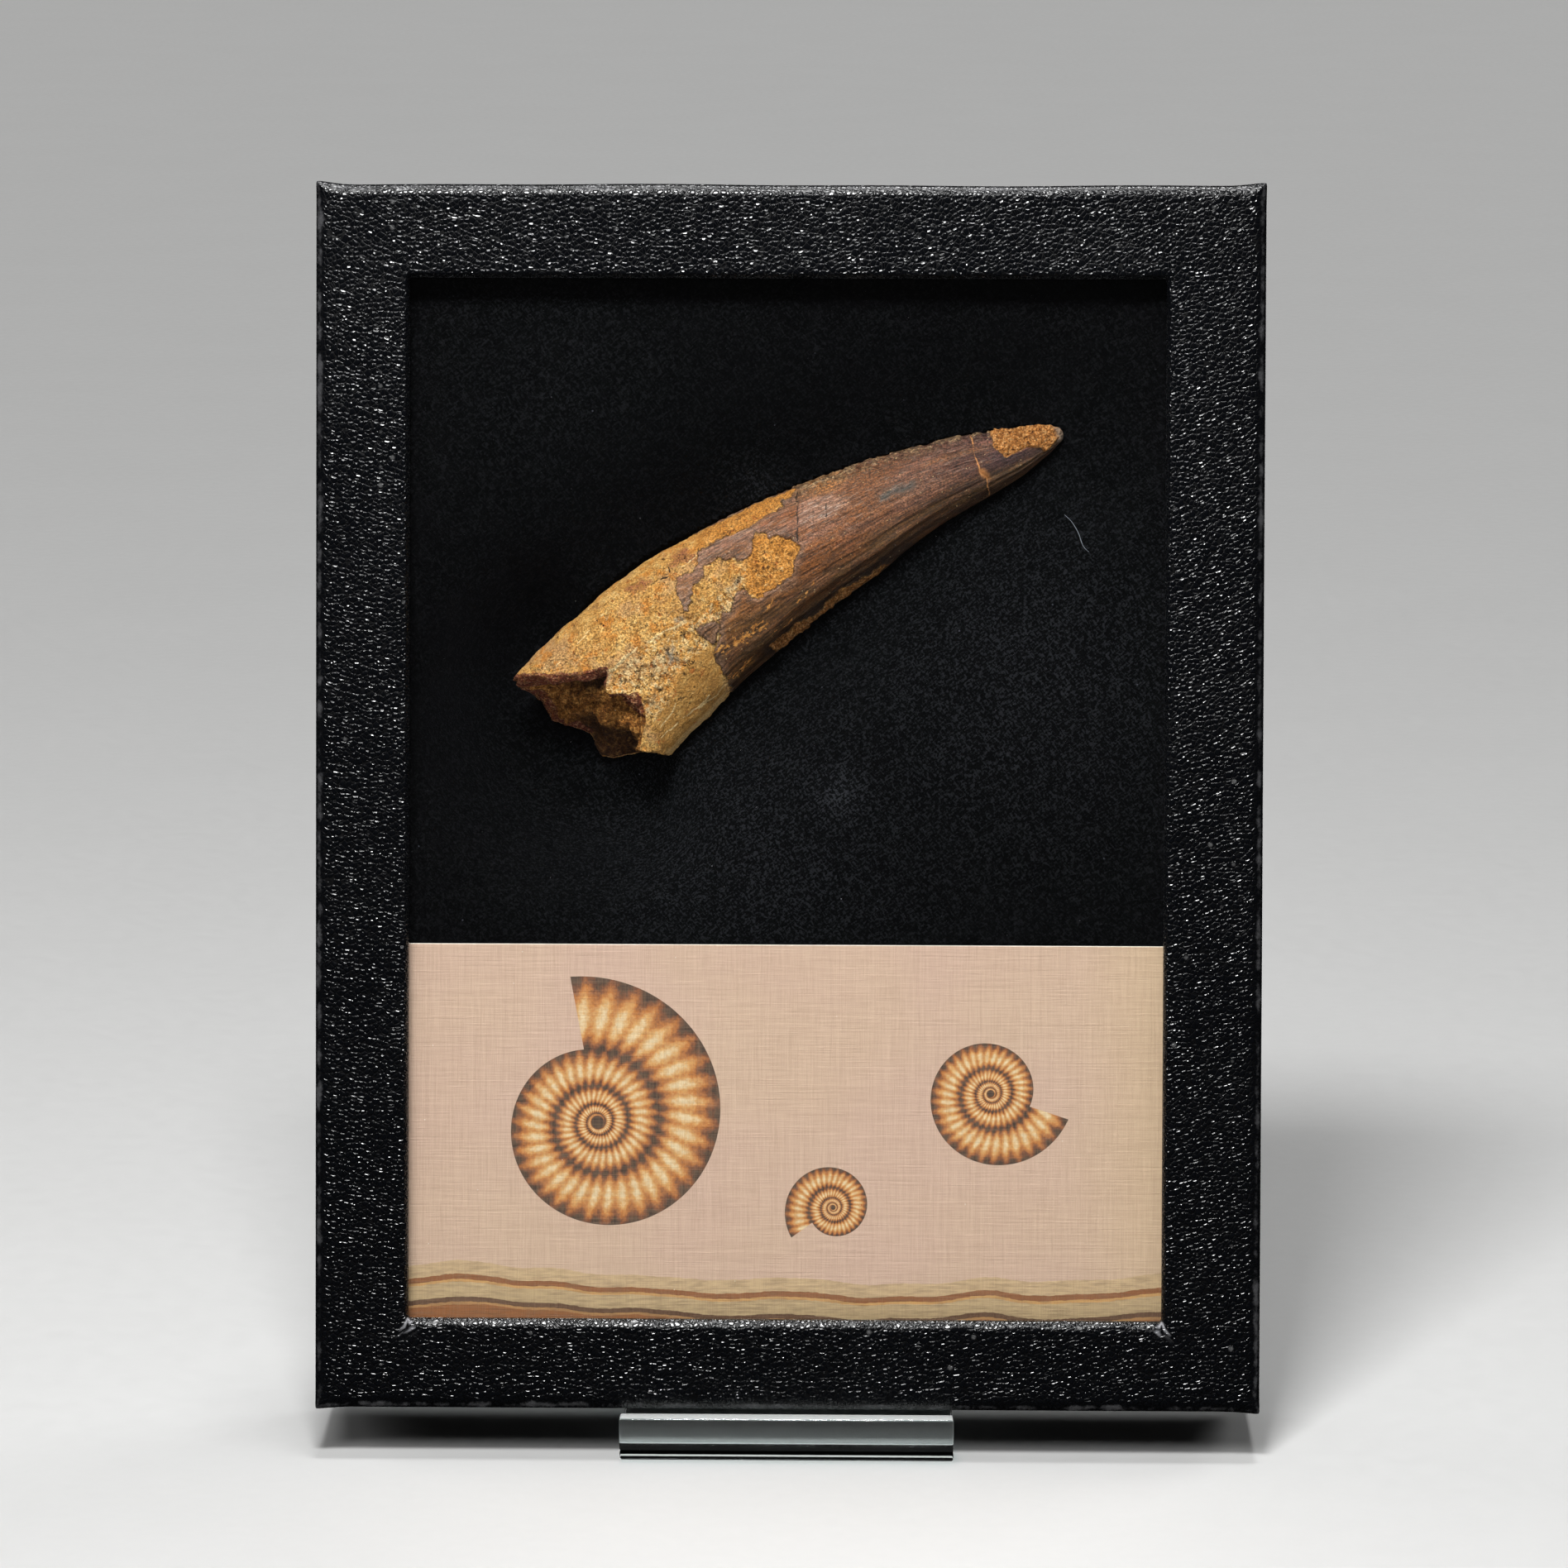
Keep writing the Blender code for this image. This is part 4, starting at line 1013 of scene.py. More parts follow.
def rootColour(tree, place, growth):
    coarse = noise(tree, place, 2.4, 4.0, 0.6, gain=1.7)
    grain = noise(tree, place, 0.55, 3.0, 0.65, gain=2.2)
    crumbly, smooth = stored(tree, "crumbly"), stored(tree, "smooth")
    tone = work(tree, "MULTIPLY_ADD", coarse, 0.6, work(tree, "MULTIPLY", grain, 0.4))
    ochre = colourBands(tree, tone, fossil["ochre"])
    blush = level(tree, noise(tree, growth, 7.0, 4.0, 0.65), 0.48, 0.62, 0.0, 0.6)
    ochre = mixColours(tree, blush, ochre, fossil["beige"])
    orange = level(tree, noise(tree, place, 3.1, 4.0, 0.7), 0.51, 0.63, 0.0, 0.8)
    ochre = mixColours(tree, orange, ochre, fossil["orange"])
    tongue = colourBands(tree, work(tree, "MULTIPLY_ADD", grain, 0.45, work(tree, "MULTIPLY", coarse, 0.55)), fossil["tongue"])
    ochre = mixColours(tree, stored(tree, "tongue"), ochre, tongue)
    # pale grains, most of all where the surface is crumbly
    pale = noise(tree, place, 1.1, 5.0, 0.75)
    reach = level(tree, crumbly, 0.0, 1.0, 0.0, 0.105)
    reach = work(tree, "SUBTRACT", reach, work(tree, "MULTIPLY", stored(tree, "tongue"), 0.12))
    pale = level(tree, work(tree, "ADD", pale, reach), 0.58, 0.7, 0.0, 0.7)
    ochre = mixColours(tree, pale, ochre, mixColours(tree, level(tree, coarse, 0.2, 0.7), fossil["grey"], fossil["cream"]))
    streaks = noise(tree, stretched(tree, growth, (1.0, 1.0, 0.05)), 0.5, 4.0, 0.65, gain=2.0)
    olive = colourBands(tree, work(tree, "MULTIPLY_ADD", coarse, 0.5, work(tree, "MULTIPLY", streaks, 0.5)), fossil["olive"])
    ochre = mixColours(tree, work(tree, "MULTIPLY", stored(tree, "olive"), 0.85), ochre, olive)
    blotchy = level(tree, work(tree, "MULTIPLY_ADD", grain, 0.6, work(tree, "MULTIPLY", coarse, 0.4)), 0.2, 0.6, 0.15, 0.95)
    ochre = mixColours(tree, work(tree, "MULTIPLY", stored(tree, "red"), blotchy), ochre, fossil["redBrown"])
    ochre = mixColours(tree, work(tree, "MULTIPLY", stored(tree, "blue"), blotchy), ochre, fossil["bluish"])
    # rusty specks, pits and hair cracks
    rusty = level(tree, noise(tree, place, 1.3, 3.0, 0.6), 0.62, 0.7, 0.0, 0.85)
    ochre = mixColours(tree, rusty, ochre, fossil["rust"])
    hollows = noise(tree, place, 1.0, 4.0, 0.75)
    pits = level(tree, work(tree, "ADD", hollows, level(tree, crumbly, 0.0, 1.0, 0.045, -0.01)), 0.42, 0.34)
    pits = work(tree, "MULTIPLY", pits, level(tree, stored(tree, "tongue"), 0.1, 0.9, 1.0, 0.5))
    ochre = mixColours(tree, work(tree, "MULTIPLY", pits, 0.85), ochre, fossil["pit"])
    winding = work(tree, "ABSOLUTE", work(tree, "SUBTRACT", noise(tree, place, 4.5, 5.0, 0.6), 0.5))
    hair = level(tree, winding, 0.009, 0.002)
    hair = work(tree, "MULTIPLY", hair, level(tree, noise(tree, place, 2.6, 2.0), 0.48, 0.6, 0.0, 0.8))
    ochre = mixColours(tree, hair, ochre, fossil["pit"])
    ochre = mixColours(tree, level(tree, stored(tree, "veinShade"), 0.4, 0.75), ochre, fossil["pit"])
    # painted highlight: a thin cream line along the lower silhouette of the olive part
    low = work(tree, "MULTIPLY", level(tree, stored(tree, "lowSide"), 0.93, 0.97), stored(tree, "olive"))
    lines = work(tree, "MAXIMUM", stored(tree, "vein"), work(tree, "MULTIPLY", stored(tree, "paleLine"), 0.9))
    lines = work(tree, "MAXIMUM", level(tree, lines, 0.4, 0.7), work(tree, "MULTIPLY", low, 0.6))
    ochre = mixColours(tree, work(tree, "MULTIPLY", lines, 0.7), ochre, fossil["cream"])
    return lighten(tree, ochre, level(tree, crumbly, 0.0, 1.0, 1.06, 1.15)), grain, pits, smooth


def enamelColour(tree, place, growth, grain):
    fine = noise(tree, stretched(tree, growth, (1.0, 1.0, 0.13)), 0.36, 4.0, 0.72, gain=2.5)
    broad = noise(tree, stretched(tree, growth, (1.0, 1.0, 0.03)), 1.2, 4.0, 0.65, gain=2.2)
    cloudy = noise(tree, stretched(tree, growth, (1.0, 1.0, 0.4)), 6.0, 5.0, 0.65, gain=1.7)
    lowSide, station = stored(tree, "lowSide"), stored(tree, "station")
    enamel = colourBands(tree, station, fossil["enamel"])
    enamel = mixColours(tree, level(tree, cloudy, 0.5, 0.85, 0.0, 0.35), enamel, fossil["warm"])
    warmer = work(tree, "MULTIPLY", stored(tree, "warmPatch"), level(tree, cloudy, 0.1, 0.6, 0.45, 0.9))
    enamel = mixColours(tree, warmer, enamel, fossil["warm"])
    along = stretched(tree, growth, (1.0, 1.0, 0.3))
    enamel = mixColours(tree, level(tree, noise(tree, along, 4.7, 5.0, 0.65, gain=1.7), 0.45, 0.8, 0.0, 0.6), enamel, fossil["mauve"])
    redder = level(tree, noise(tree, along, 3.1, 4.0, 0.6, gain=1.7), 0.6, 0.85, 0.0, 0.3)
    enamel = mixColours(tree, redder, enamel, fossil["reddish"])
    browner = work(tree, "MULTIPLY", level(tree, lowSide, 0.1, 0.6), level(tree, noise(tree, along, 2.3, 4.0), 0.4, 0.6, 0.2, 0.8))
    enamel = mixColours(tree, browner, enamel, fossil["oliveBrown"])
    byEdge = work(tree, "MULTIPLY", level(tree, stored(tree, "skin"), 1.7, 0.2), level(tree, cloudy, 0.1, 0.7, 0.1, 0.75))
    byEdge = work(tree, "MULTIPLY", byEdge, level(tree, station, 0.75, 0.6))
    enamel = mixColours(tree, byEdge, enamel, fossil["greyish"])
    furrows = work(tree, "MULTIPLY", level(tree, broad, 0.52, 0.2), level(tree, lowSide, -0.1, 0.55, 0.12, 0.92))
    enamel = mixColours(tree, furrows, enamel, fossil["furrow"])
    # painted highlight: the glint patch is painted pale
    enamel = mixColours(tree, work(tree, "MULTIPLY", stored(tree, "glintPatch"), 0.45), enamel, fossil["pale"])
    # painted shade: the enamel is darker on the tooth's lower side
    enamel = mixColours(tree, level(tree, lowSide, 0.2, 0.95, 0.0, 0.55), enamel, fossil["undersideShade"])
    # painted shade in the groove along the lower side
    enamel = mixColours(tree, work(tree, "MULTIPLY", stored(tree, "groove"), 0.55), enamel, fossil["furrow"])
    enamel = lighten(tree, enamel, level(tree, fine, 0.0, 1.0, 0.3, 1.8))
    grit = noise(tree, place, 0.3, 2.0, 0.6, gain=2.6)
    # painted shade in the furrow beside the sandstone strip
    shadeByStrip = level(tree, stored(tree, "sand"), -1.9, -0.3)
    shadeByStrip = work(tree, "MULTIPLY", shadeByStrip, level(tree, station, 0.78, 0.7, 0.0, 0.75))
    enamel = mixColours(tree, shadeByStrip, enamel, fossil["furrow"])
    gritty = level(tree, station, 0.3, 0.8, 0.4, 0.62)
    enamel = lighten(tree, enamel, work(tree, "MULTIPLY_ADD", level(tree, grit, 0.0, 1.0, -1.0, 1.0), gritty, 1.03))
    blotchy = level(tree, fine, 0.2, 0.8, 0.45, 0.95)
    blotchy = work(tree, "MULTIPLY", stored(tree, "blueStreak"), blotchy)
    enamel = mixColours(tree, blotchy, enamel, (0.05, 0.062, 0.058, 1))
    # painted highlights as short pale strokes along the growth, on the upper side and the glint patch; then specks
    glintStrokes = noise(tree, stretched(tree, growth, (1.0, 1.0, 0.14)), 0.26, 3.0, 0.6, gain=2.4)
    upperSide = level(tree, lowSide, 0.25, -0.2, 0.05, 0.35)
    glintStrokes = work(tree, "MULTIPLY", level(tree, glintStrokes, 0.62, 0.85), work(tree, "MAXIMUM", upperSide, stored(tree, "glintPatch")))
    enamel = mixColours(tree, work(tree, "MULTIPLY", glintStrokes, 0.65), enamel, fossil["glint"])
    specks = use(tree, dustSpecks, {"Place": place, "Density": 2000.0, "Amount": 0.09})["Mask"]
    enamel = mixColours(tree, work(tree, "MULTIPLY", specks, 0.55), enamel, fossil["cream"])
    holes = use(tree, dustSpecks, {"Place": place, "Density": 1700.0, "Amount": 0.16})["Mask"]
    enamel = mixColours(tree, work(tree, "MULTIPLY", holes, 0.7), enamel, fossil["furrow"])
    rim = work(tree, "MULTIPLY", level(tree, lowSide, -0.55, -0.95), level(tree, grit, 0.3, 0.7, 0.85, 0.1))
    enamel = mixColours(tree, work(tree, "MULTIPLY", rim, level(tree, station, 0.4, 0.6)), enamel, fossil["furrow"])
    dusty = work(tree, "MULTIPLY", stored(tree, "dusting"), level(tree, grain, 0.1, 0.5, 0.3, 1.0))
    crust = colourBands(tree, noise(tree, place, 0.45, 3.0, 0.65, gain=2.4), fossil["crust"])
    enamel = mixColours(tree, dusty, enamel, crust)
    enamel = mixColours(tree, stored(tree, "ringPatch"), enamel, (0.4, 0.16, 0.05, 1))
    # yellow grains in the furrows
    caught = noise(tree, stretched(tree, growth, (1.0, 1.0, 0.5)), 0.4, 3.0, 0.6, gain=2.0)
    caught = level(tree, work(tree, "MULTIPLY_ADD", stored(tree, "flecks"), 0.5, caught), 0.95, 1.08)
    flecks = colourBands(tree, grain, fossil["tongue"])
    return mixColours(tree, caught, enamel, flecks), fine


def fossilMaterial():
    material, tree, shader = newMaterial("fossilTooth", IOR=1.5, Specular_IOR_Level=0.22)
    place, growth = objectPlace(tree), stored(tree, "growth", "Vector")
    ochre, grain, pits, smooth = rootColour(tree, place, growth)
    enamel, fine = enamelColour(tree, place, growth, grain)
    # sandstone still stuck on
    sandTone = noise(tree, place, 0.5, 4.0, 0.72, gain=2.6)
    sand = colourBands(tree, sandTone, fossil["sand"])
    # painted shade: the sand is darker on the tooth's lower side
    sand = lighten(tree, sand, level(tree, stored(tree, "lowSide"), 0.5, 0.85, 1.0, 0.72))
    rag = work(tree, "MULTIPLY_ADD", noise(tree, place, 0.6, 4.0, 0.7), 1.2, -0.6)
    edge = work(tree, "ADD", stored(tree, "skin"), rag)
    skin = level(tree, edge, -0.05, 0.05)
    stuck = level(tree, work(tree, "ADD", stored(tree, "sand"), rag), -0.1, 0.12)
    outer = mixColours(tree, skin, ochre, enamel)
    # a painted shadow along the step where the enamel has broken off
    broken = work(tree, "MULTIPLY", level(tree, edge, -0.24, -0.05), level(tree, edge, 0.1, -0.02, 0.0, 0.8))
    outer = mixColours(tree, broken, outer, fossil["furrow"])
    outer = mixColours(tree, stuck, outer, sand)
    ring = level(tree, work(tree, "MULTIPLY_ADD", grain, 0.5, stored(tree, "ring")), 0.85, 1.1)
    outer = mixColours(tree, ring, outer, (0.55, 0.24, 0.08, 1))
    outer = mixColours(tree, level(tree, stored(tree, "crack"), 0.35, 0.7), outer, (0.015, 0.007, 0.004, 1))
    outer = mixColours(tree, work(tree, "MULTIPLY", level(tree, stored(tree, "station"), 0.983, 0.993), level(tree, grain, 0.2, 0.6, 0.4, 0.9)),
                      outer, (0.2, 0.14, 0.1, 1))
    # the broken root, crusted with maroon in places
    rubble = noise(tree, place, 0.9, 5.0, 0.75, gain=2.3)
    inner = colourBands(tree, rubble, fossil["matrix"])
    inner = mixColours(tree, work(tree, "MULTIPLY", pits, 0.8), inner, fossil["pit"])
    shaded = work(tree, "MULTIPLY", level(tree, stored(tree, "shaded"), 0.0, 1.0, 0.0, 0.94), level(tree, rubble, 0.35, 0.9, 1.0, 0.84))
    inner = mixColours(tree, shaded, inner, fossil["shaded"])
    whole = mixColours(tree, stored(tree, "hollow"), outer, inner)
    crusted = work(tree, "MULTIPLY_ADD", noise(tree, place, 1.2, 4.0, 0.7, gain=1.6), 0.7, stored(tree, "maroon"))
    worn = level(tree, noise(tree, place, 0.8, 4.0, 0.7, gain=1.8), 0.2, 0.6, 0.4, 0.96)
    whole = mixColours(tree, work(tree, "MULTIPLY", level(tree, crusted, 0.66, 0.9), worn), whole, fossil["maroon"])
    crystals = work(tree, "MULTIPLY", level(tree, crusted, 0.8, 1.0), level(tree, noise(tree, place, 0.5, 3.0, 0.7), 0.53, 0.62))
    whole = mixColours(tree, work(tree, "MULTIPLY", crystals, 0.75), whole, fossil["pink"])
    # grit all over
    grit = noise(tree, place, 0.32, 2.0, 0.65, gain=2.6)
    coarseness = put(tree, "Mix", {0: skin, 2: 1.0, 3: 0.35}, data_type="FLOAT").outputs[0]
    calm = work(tree, "MULTIPLY_ADD", smooth, -0.45, coarseness)
    shade = work(tree, "MULTIPLY_ADD", work(tree, "MULTIPLY", level(tree, grit, 0.0, 1.0, -0.56, 0.44), calm), 1.0, 1.0)
    feed(tree, shader.inputs["Base Color"], lighten(tree, whole, shade))
    satin = level(tree, fine, 0.2, 0.9, 0.46, 0.32)
    rough = put(tree, "Mix", {0: skin, 2: 0.85, 3: satin}, data_type="FLOAT").outputs[0]
    rough = work(tree, "MAXIMUM", rough, work(tree, "MULTIPLY", stored(tree, "hollow"), 0.9))
    feed(tree, shader.inputs["Roughness"], work(tree, "MAXIMUM", rough, work(tree, "MULTIPLY", stuck, 0.8)))
    sandy = work(tree, "MULTIPLY_ADD", pits, -0.9, work(tree, "MULTIPLY_ADD", grit, 0.5, grain))
    wrinkled = work(tree, "MULTIPLY_ADD", grit, 0.5, fine)
    bumpHeight = put(tree, "Mix", {0: skin, 2: sandy, 3: wrinkled}, data_type="FLOAT").outputs[0]
    deep = put(tree, "Mix", {0: skin, 2: 0.00024, 3: 0.00008}, data_type="FLOAT").outputs[0]
    soft = put(tree, "Bump", {"Height": bumpHeight, "Distance": deep}).outputs[0]
    raise_(tree, shader, sandTone, 0.00005, soft)
    return material


# Felt pad
felt = {
    "step": 0.6,
    "dishReach": 13.0,
    "flatEdge": 12.0,
    "dishEnd": (-2.0, 12.0),
    "socketPlay": 0.15,
    "back": 26.1,
    "nap": 0.06,
}


def nearTooth(x, z):
    # the nearest station of the tooth to each place, and how far outside its outline the place lies
    samples = np.linspace(0, toothLength, 120)
    middle, _ = toothAxis(samples)
    halves = toothWidth(samples) / 2
    away, nearest = np.full(len(x), np.inf), np.zeros(len(x))
    for station, (mx, mz), half in zip(samples, middle, halves):
        gap = np.hypot(x - mx, z - mz) - half
        closer = gap < away
        away[closer], nearest[closer] = gap[closer], station
    return nearest, away


def feltDepth(x, z, left, right, bottom, top):
    nearest, away = nearTooth(x, z)
    contact = toothDepth(nearest) - box["feltFront"]
    beyond = (np.column_stack((x, z)) - toothRoot) @ toothChord
    contact += (1 - fade(beyond, *felt["dishEnd"])) * toothThickness(np.zeros(1))[0] / 2
    pressed = contact * np.exp(-((np.maximum(away, 0) / felt["dishReach"]) ** 2))
    edge = np.minimum.reduce([x - left, right - x, z - bottom, top - z])
    depth = box["feltFront"] + pressed * fade(edge, 0, felt["flatEdge"])
    # under the tooth the felt lies behind the tooth's back
    places = np.column_stack((x, z))
    station = np.clip(beyond, -5.5, toothLength + 0.9)
    for _ in range(3):
        middle, across = toothAxis(station)
        along = np.column_stack((across[:, 1], -across[:, 0]))
        station = np.clip(station + np.einsum("ij,ij->i", places - middle, along), -5.5, toothLength + 0.9)
    middle, across = toothAxis(station)
    side = np.einsum("ij,ij->i", places - middle, across)
    reach = toothWidth(np.minimum(station, toothLength - 0.05)) / 2 + felt["socketPlay"]
    along = np.abs(np.einsum("ij,ij->i", places - middle, np.column_stack((across[:, 1], -across[:, 0]))))
    under = (np.abs(side) < reach) & (along < 0.5)
    roundness = np.sqrt(np.maximum(1 - (side / reach) ** 2, 0))
    behind = toothDepth(station) + (toothThickness(np.minimum(station, toothLength - 0.05)) / 2 + 0.9) * roundness
    return np.where(under, np.maximum(depth, behind), depth)


def feltMaterial():
    material, tree, shader = newMaterial(
        "blackFelt", IOR=1.35, Specular_IOR_Level=0.05, Sheen_Weight=0.01, Sheen_Roughness=0.6, Sheen_Tint=(0.8, 0.85, 1, 1)
    )
    place = objectPlace(tree)
    slanting = put(tree, "Mapping", {"Vector": place, "Rotation": (0.0, math.radians(38), 0.0)}).outputs[0]
    fibres = use(tree, shortFibres, {"Place": slanting, "Length": 0.35, "Density": 3400.0})
    dust = use(tree, dustSpecks, {"Place": place, "Density": 1500.0, "Amount": 0.0015})["Mask"]
    clumps = level(tree, noise(tree, place, 2.2, 4.0, 0.6), 0.35, 0.7)
    raised = level(tree, fibres["Tone"], 0.45, 1.0)
    colour = mixColours(tree, raised, (0.0002, 0.0002, 0.0003, 1), (0.0047, 0.0047, 0.0054, 1))
    colour = mixColours(tree, work(tree, "MULTIPLY", clumps, 0.1), colour, (0.0025, 0.0025, 0.003, 1))
    # rubbed felt and painted light: the felt is painted lighter in these patches, most of all below and right of the
    # tooth
    lit = work(tree, "MULTIPLY", stored(tree, "rubbedAndLit"), level(tree, fibres["Tone"], 0.4, 1.0, 0.1, 1.0))
    colour = mixColours(tree, lit, colour, (0.033, 0.034, 0.039, 1))
    colour = mixColours(tree, work(tree, "MULTIPLY", dust, 0.25), colour, (0.2, 0.21, 0.26, 1))
    feed(tree, shader.inputs["Base Color"], colour)
    feed(tree, shader.inputs["Roughness"], level(tree, clumps, 0.0, 1.0, 0.85, 1.0))
    raise_(tree, shader, fibres["Height"], 0.00016)
    return material


def addFelt(material):
    side = box["width"] / 2 - box["trayInside"] - box["play"]
    left, right = -side, side
    bottom = box["trayInside"] + box["play"]
    top = box["height"] - bottom
    columns, rows = round((right - left) / felt["step"]), round((top - bottom) / felt["step"])
    gridX, gridZ = np.meshgrid(np.linspace(left, right, columns), np.linspace(bottom, top, rows))
    x, z = gridX.ravel(), gridZ.ravel()
    depth = feltDepth(x, z, left, right, bottom, top)
    spots = np.column_stack((x, depth, z))
    depth = depth + felt["nap"] * (noiseAt(spots, 1.9, 51) + noiseAt(spots, 6.0, 52))
    front = np.column_stack((x, np.maximum(depth, box["feltFront"]), z))
    border = np.concatenate((
        np.arange(columns), np.arange(1, rows) * columns + columns - 1,
        (rows - 1) * columns + np.arange(columns - 2, -1, -1), np.arange(rows - 2, 0, -1) * columns,
    ))
    rim = front[border].copy()
    rim[:, 1] = felt["back"]
    points = np.vstack((front, rim))
    faces = gridFaces(rows, columns, loopColumns=False)
    first, many = len(front), len(border)
    faces += [[int(border[k]), int(border[(k + 1) % many]), first + (k + 1) % many, first + k] for k in range(many)]
    faces.append([first + k for k in range(many)])
    piece = addPiece("felt", stand(points), faces, material, 50)
    # rubbed spots and broad pools of painted light on the felt: across, up, size and how much
    rubbedAndLitSpots = (
        (-6.3, 153.1, 5.0, 0.3), (8.3, 101.9, 4.0, 0.45), (42.0, 122.0, 30.0, 0.36), (-8.0, 92.0, 26.0, 0.34),
        (-40.0, 172.0, 20.0, 0.09),
    )
    rubbedAndLit = sum(amount * bell(np.hypot(points[:, 0] - mx, points[:, 2] - mz), size) for mx, mz, size, amount in rubbedAndLitSpots)
    store(piece, "rubbedAndLit", np.clip(rubbedAndLit, 0, 1))
    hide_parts("felt_pad")


# Card
card = {
    "thickness": 0.4,
    "bevel": 0.14,
    "top": 77.0,
    "step": 1.2,
    "base": (0.63, 0.44, 0.325, 1),
    "yellow": (0.63, 0.445, 0.295, 1),
    "pinkish": (0.625, 0.425, 0.335, 1),
    # across, up, size and turn of each printed shell
    "shells": ((-0.0315, 0.0475, 0.0245, 0.72), (0.0335, 0.0525, 0.0135, 0.05), (0.0075, 0.0335, 0.0085, 0.4)),
    "shellGrowth": 2.0,
    "shellRibs": 34.0,
    "strataTop": 0.0225,
}


def shellGroup():
    # distance and angle from the shell's middle give whorls that grow outwards
    inputs = [("Across", "Float", 0.0), ("Up", "Float", 0.0), ("Size", "Float", 0.02), ("Turn", "Float", 0.0),
              ("Speckle", "Float", 0.5)]
    group, given, out = newGroup("printedShell", inputs, [("Mask", "Float"), ("Shade", "Float")])
    dx, dz = given["Across"], given["Up"]
    squared = work(group, "MULTIPLY_ADD", dz, dz, work(group, "MULTIPLY", dx, dx))
    reach = work(group, "SQRT", squared)
    share = work(group, "MULTIPLY_ADD", work(group, "ARCTAN2", dz, dx), 1 / (2 * math.pi), 1.0)
    turn = work(group, "FRACT", work(group, "ADD", share, given["Turn"]))
    scaled = work(group, "DIVIDE", reach, given["Size"])
    grown = work(group, "DIVIDE", work(group, "LOGARITHM", scaled, math.e), math.log(card["shellGrowth"]))
    whorl = work(group, "ADD", work(group, "SUBTRACT", grown, turn), 1.0)
    within = work(group, "FRACT", whorl)
    body = work(group, "SINE", work(group, "MULTIPLY", within, math.pi))
    count = work(group, "ADD", turn, work(group, "FLOOR", whorl))
    swept = work(group, "MULTIPLY_ADD", within, 0.9, work(group, "MULTIPLY", count, card["shellRibs"]))
    ribs = work(group, "SINE", work(group, "MULTIPLY", swept, 2 * math.pi))
    shade = work(group, "MULTIPLY_ADD", ribs, 0.16, work(group, "MULTIPLY", body, 0.75))
    shade = work(group, "MULTIPLY_ADD", given["Speckle"], 0.5, work(group, "SUBTRACT", shade, 0.22))
    core = level(group, scaled, 0.035, 0.055)
    feed(group, out["Mask"], work(group, "LESS_THAN", whorl, 0.0))
    feed(group, out["Shade"], work(group, "MULTIPLY", shade, core))
    return group


def cardMaterial():
    material, tree, shader = newMaterial("linenCard", IOR=1.45)
    place = stored(tree, "cardPlace", "Vector")
    across, _, up = put(tree, "SeparateXYZ", {0: place}).outputs
    threads = use(tree, shortFibres, {"Place": place, "Length": 0.04, "Density": 5200.0})
    longThreads = use(tree, shortFibres, {"Place": place, "Length": 0.015, "Density": 2900.0})
    tint = level(tree, noise(tree, place, 40.0, 2.0), 0.35, 0.65)
    colour = mixColours(tree, tint, card["base"], card["pinkish"])
    colour = mixColours(tree, level(tree, across, 0.045, 0.063), colour, card["yellow"])
    speckled = noise(tree, place, 0.9, 4.0, 0.7, gain=1.6)
    shellPrint = shellGroup()
    shade, inside = 0.0, 0.0
    for x, z, size, turn in card["shells"]:
        inputs = {
            "Across": work(tree, "SUBTRACT", across, x), "Up": work(tree, "SUBTRACT", up, z), "Size": size,
            "Turn": turn, "Speckle": speckled,
        }
        shell = use(tree, shellPrint, inputs)
        shade = work(tree, "MULTIPLY_ADD", shell["Shade"], shell["Mask"], shade)
        inside = work(tree, "ADD", inside, shell["Mask"])
    shellColour = colourBands(tree, shade, (
        (0.05, (0.03, 0.016, 0.01)), (0.25, (0.16, 0.045, 0.015)), (0.5, (0.5, 0.17, 0.035)),
        (0.72, (0.68, 0.36, 0.12)), (0.95, (0.8, 0.62, 0.38)),
    ))
    # beds of rock under it
    roll = noise(tree, stretched(tree, place, (0.35, 1.0, 0.12)), 14.0, 2.0)
    height = work(tree, "MULTIPLY_ADD", roll, 0.012, work(tree, "MULTIPLY_ADD", across, -0.035, -0.006))
    bed = work(tree, "SUBTRACT", up, height)
    bedShare = work(tree, "DIVIDE", bed, card["strataTop"])
    roughEdge = work(tree, "MULTIPLY_ADD", noise(tree, place, 1.1, 3.0), 0.02, bedShare)
    beds = colourBands(tree, roughEdge, (
        (0.0, (0.05, 0.028, 0.018)), (0.56, (0.05, 0.028, 0.018)), (0.575, (0.33, 0.12, 0.04)),
        (0.68, (0.5, 0.26, 0.1)), (0.7, (0.1, 0.045, 0.024)), (0.735, (0.56, 0.4, 0.22)),
        (0.84, (0.62, 0.34, 0.12)), (0.86, (0.26, 0.09, 0.03)), (0.9, (0.6, 0.42, 0.24)),
    ), "CONSTANT")
    beds = mixColours(tree, level(tree, noise(tree, stretched(tree, place, (0.15, 1.0, 1.0)), 0.5, 3.0), 0.4, 0.7, 0.0, 0.35),
                      beds, (0.1, 0.06, 0.035, 1))
    belowTop = work(tree, "LESS_THAN", roughEdge, 1.0)
    colour = mixColours(tree, belowTop, colour, beds)
    colour = mixColours(tree, inside, colour, shellColour)
    colour = mixColours(tree, stored(tree, "cutEdge"), colour, (0.85, 0.82, 0.76, 1))
    dim = work(tree, "MULTIPLY_ADD", longThreads["Tone"], 0.17, work(tree, "MULTIPLY", threads["Tone"], 0.2))
    colour = mixColours(tree, dim, colour, (0.3, 0.19, 0.12, 1))
    feed(tree, shader.inputs["Base Color"], colour)
    feed(tree, shader.inputs["Roughness"], level(tree, threads["Height"], 0.3, 0.7, 0.5, 0.68))
    soft = put(tree, "Bump", {"Height": longThreads["Height"], "Distance": 0.00012}).outputs[0]
    raise_(tree, shader, threads["Height"], 0.0001, soft)
    return material


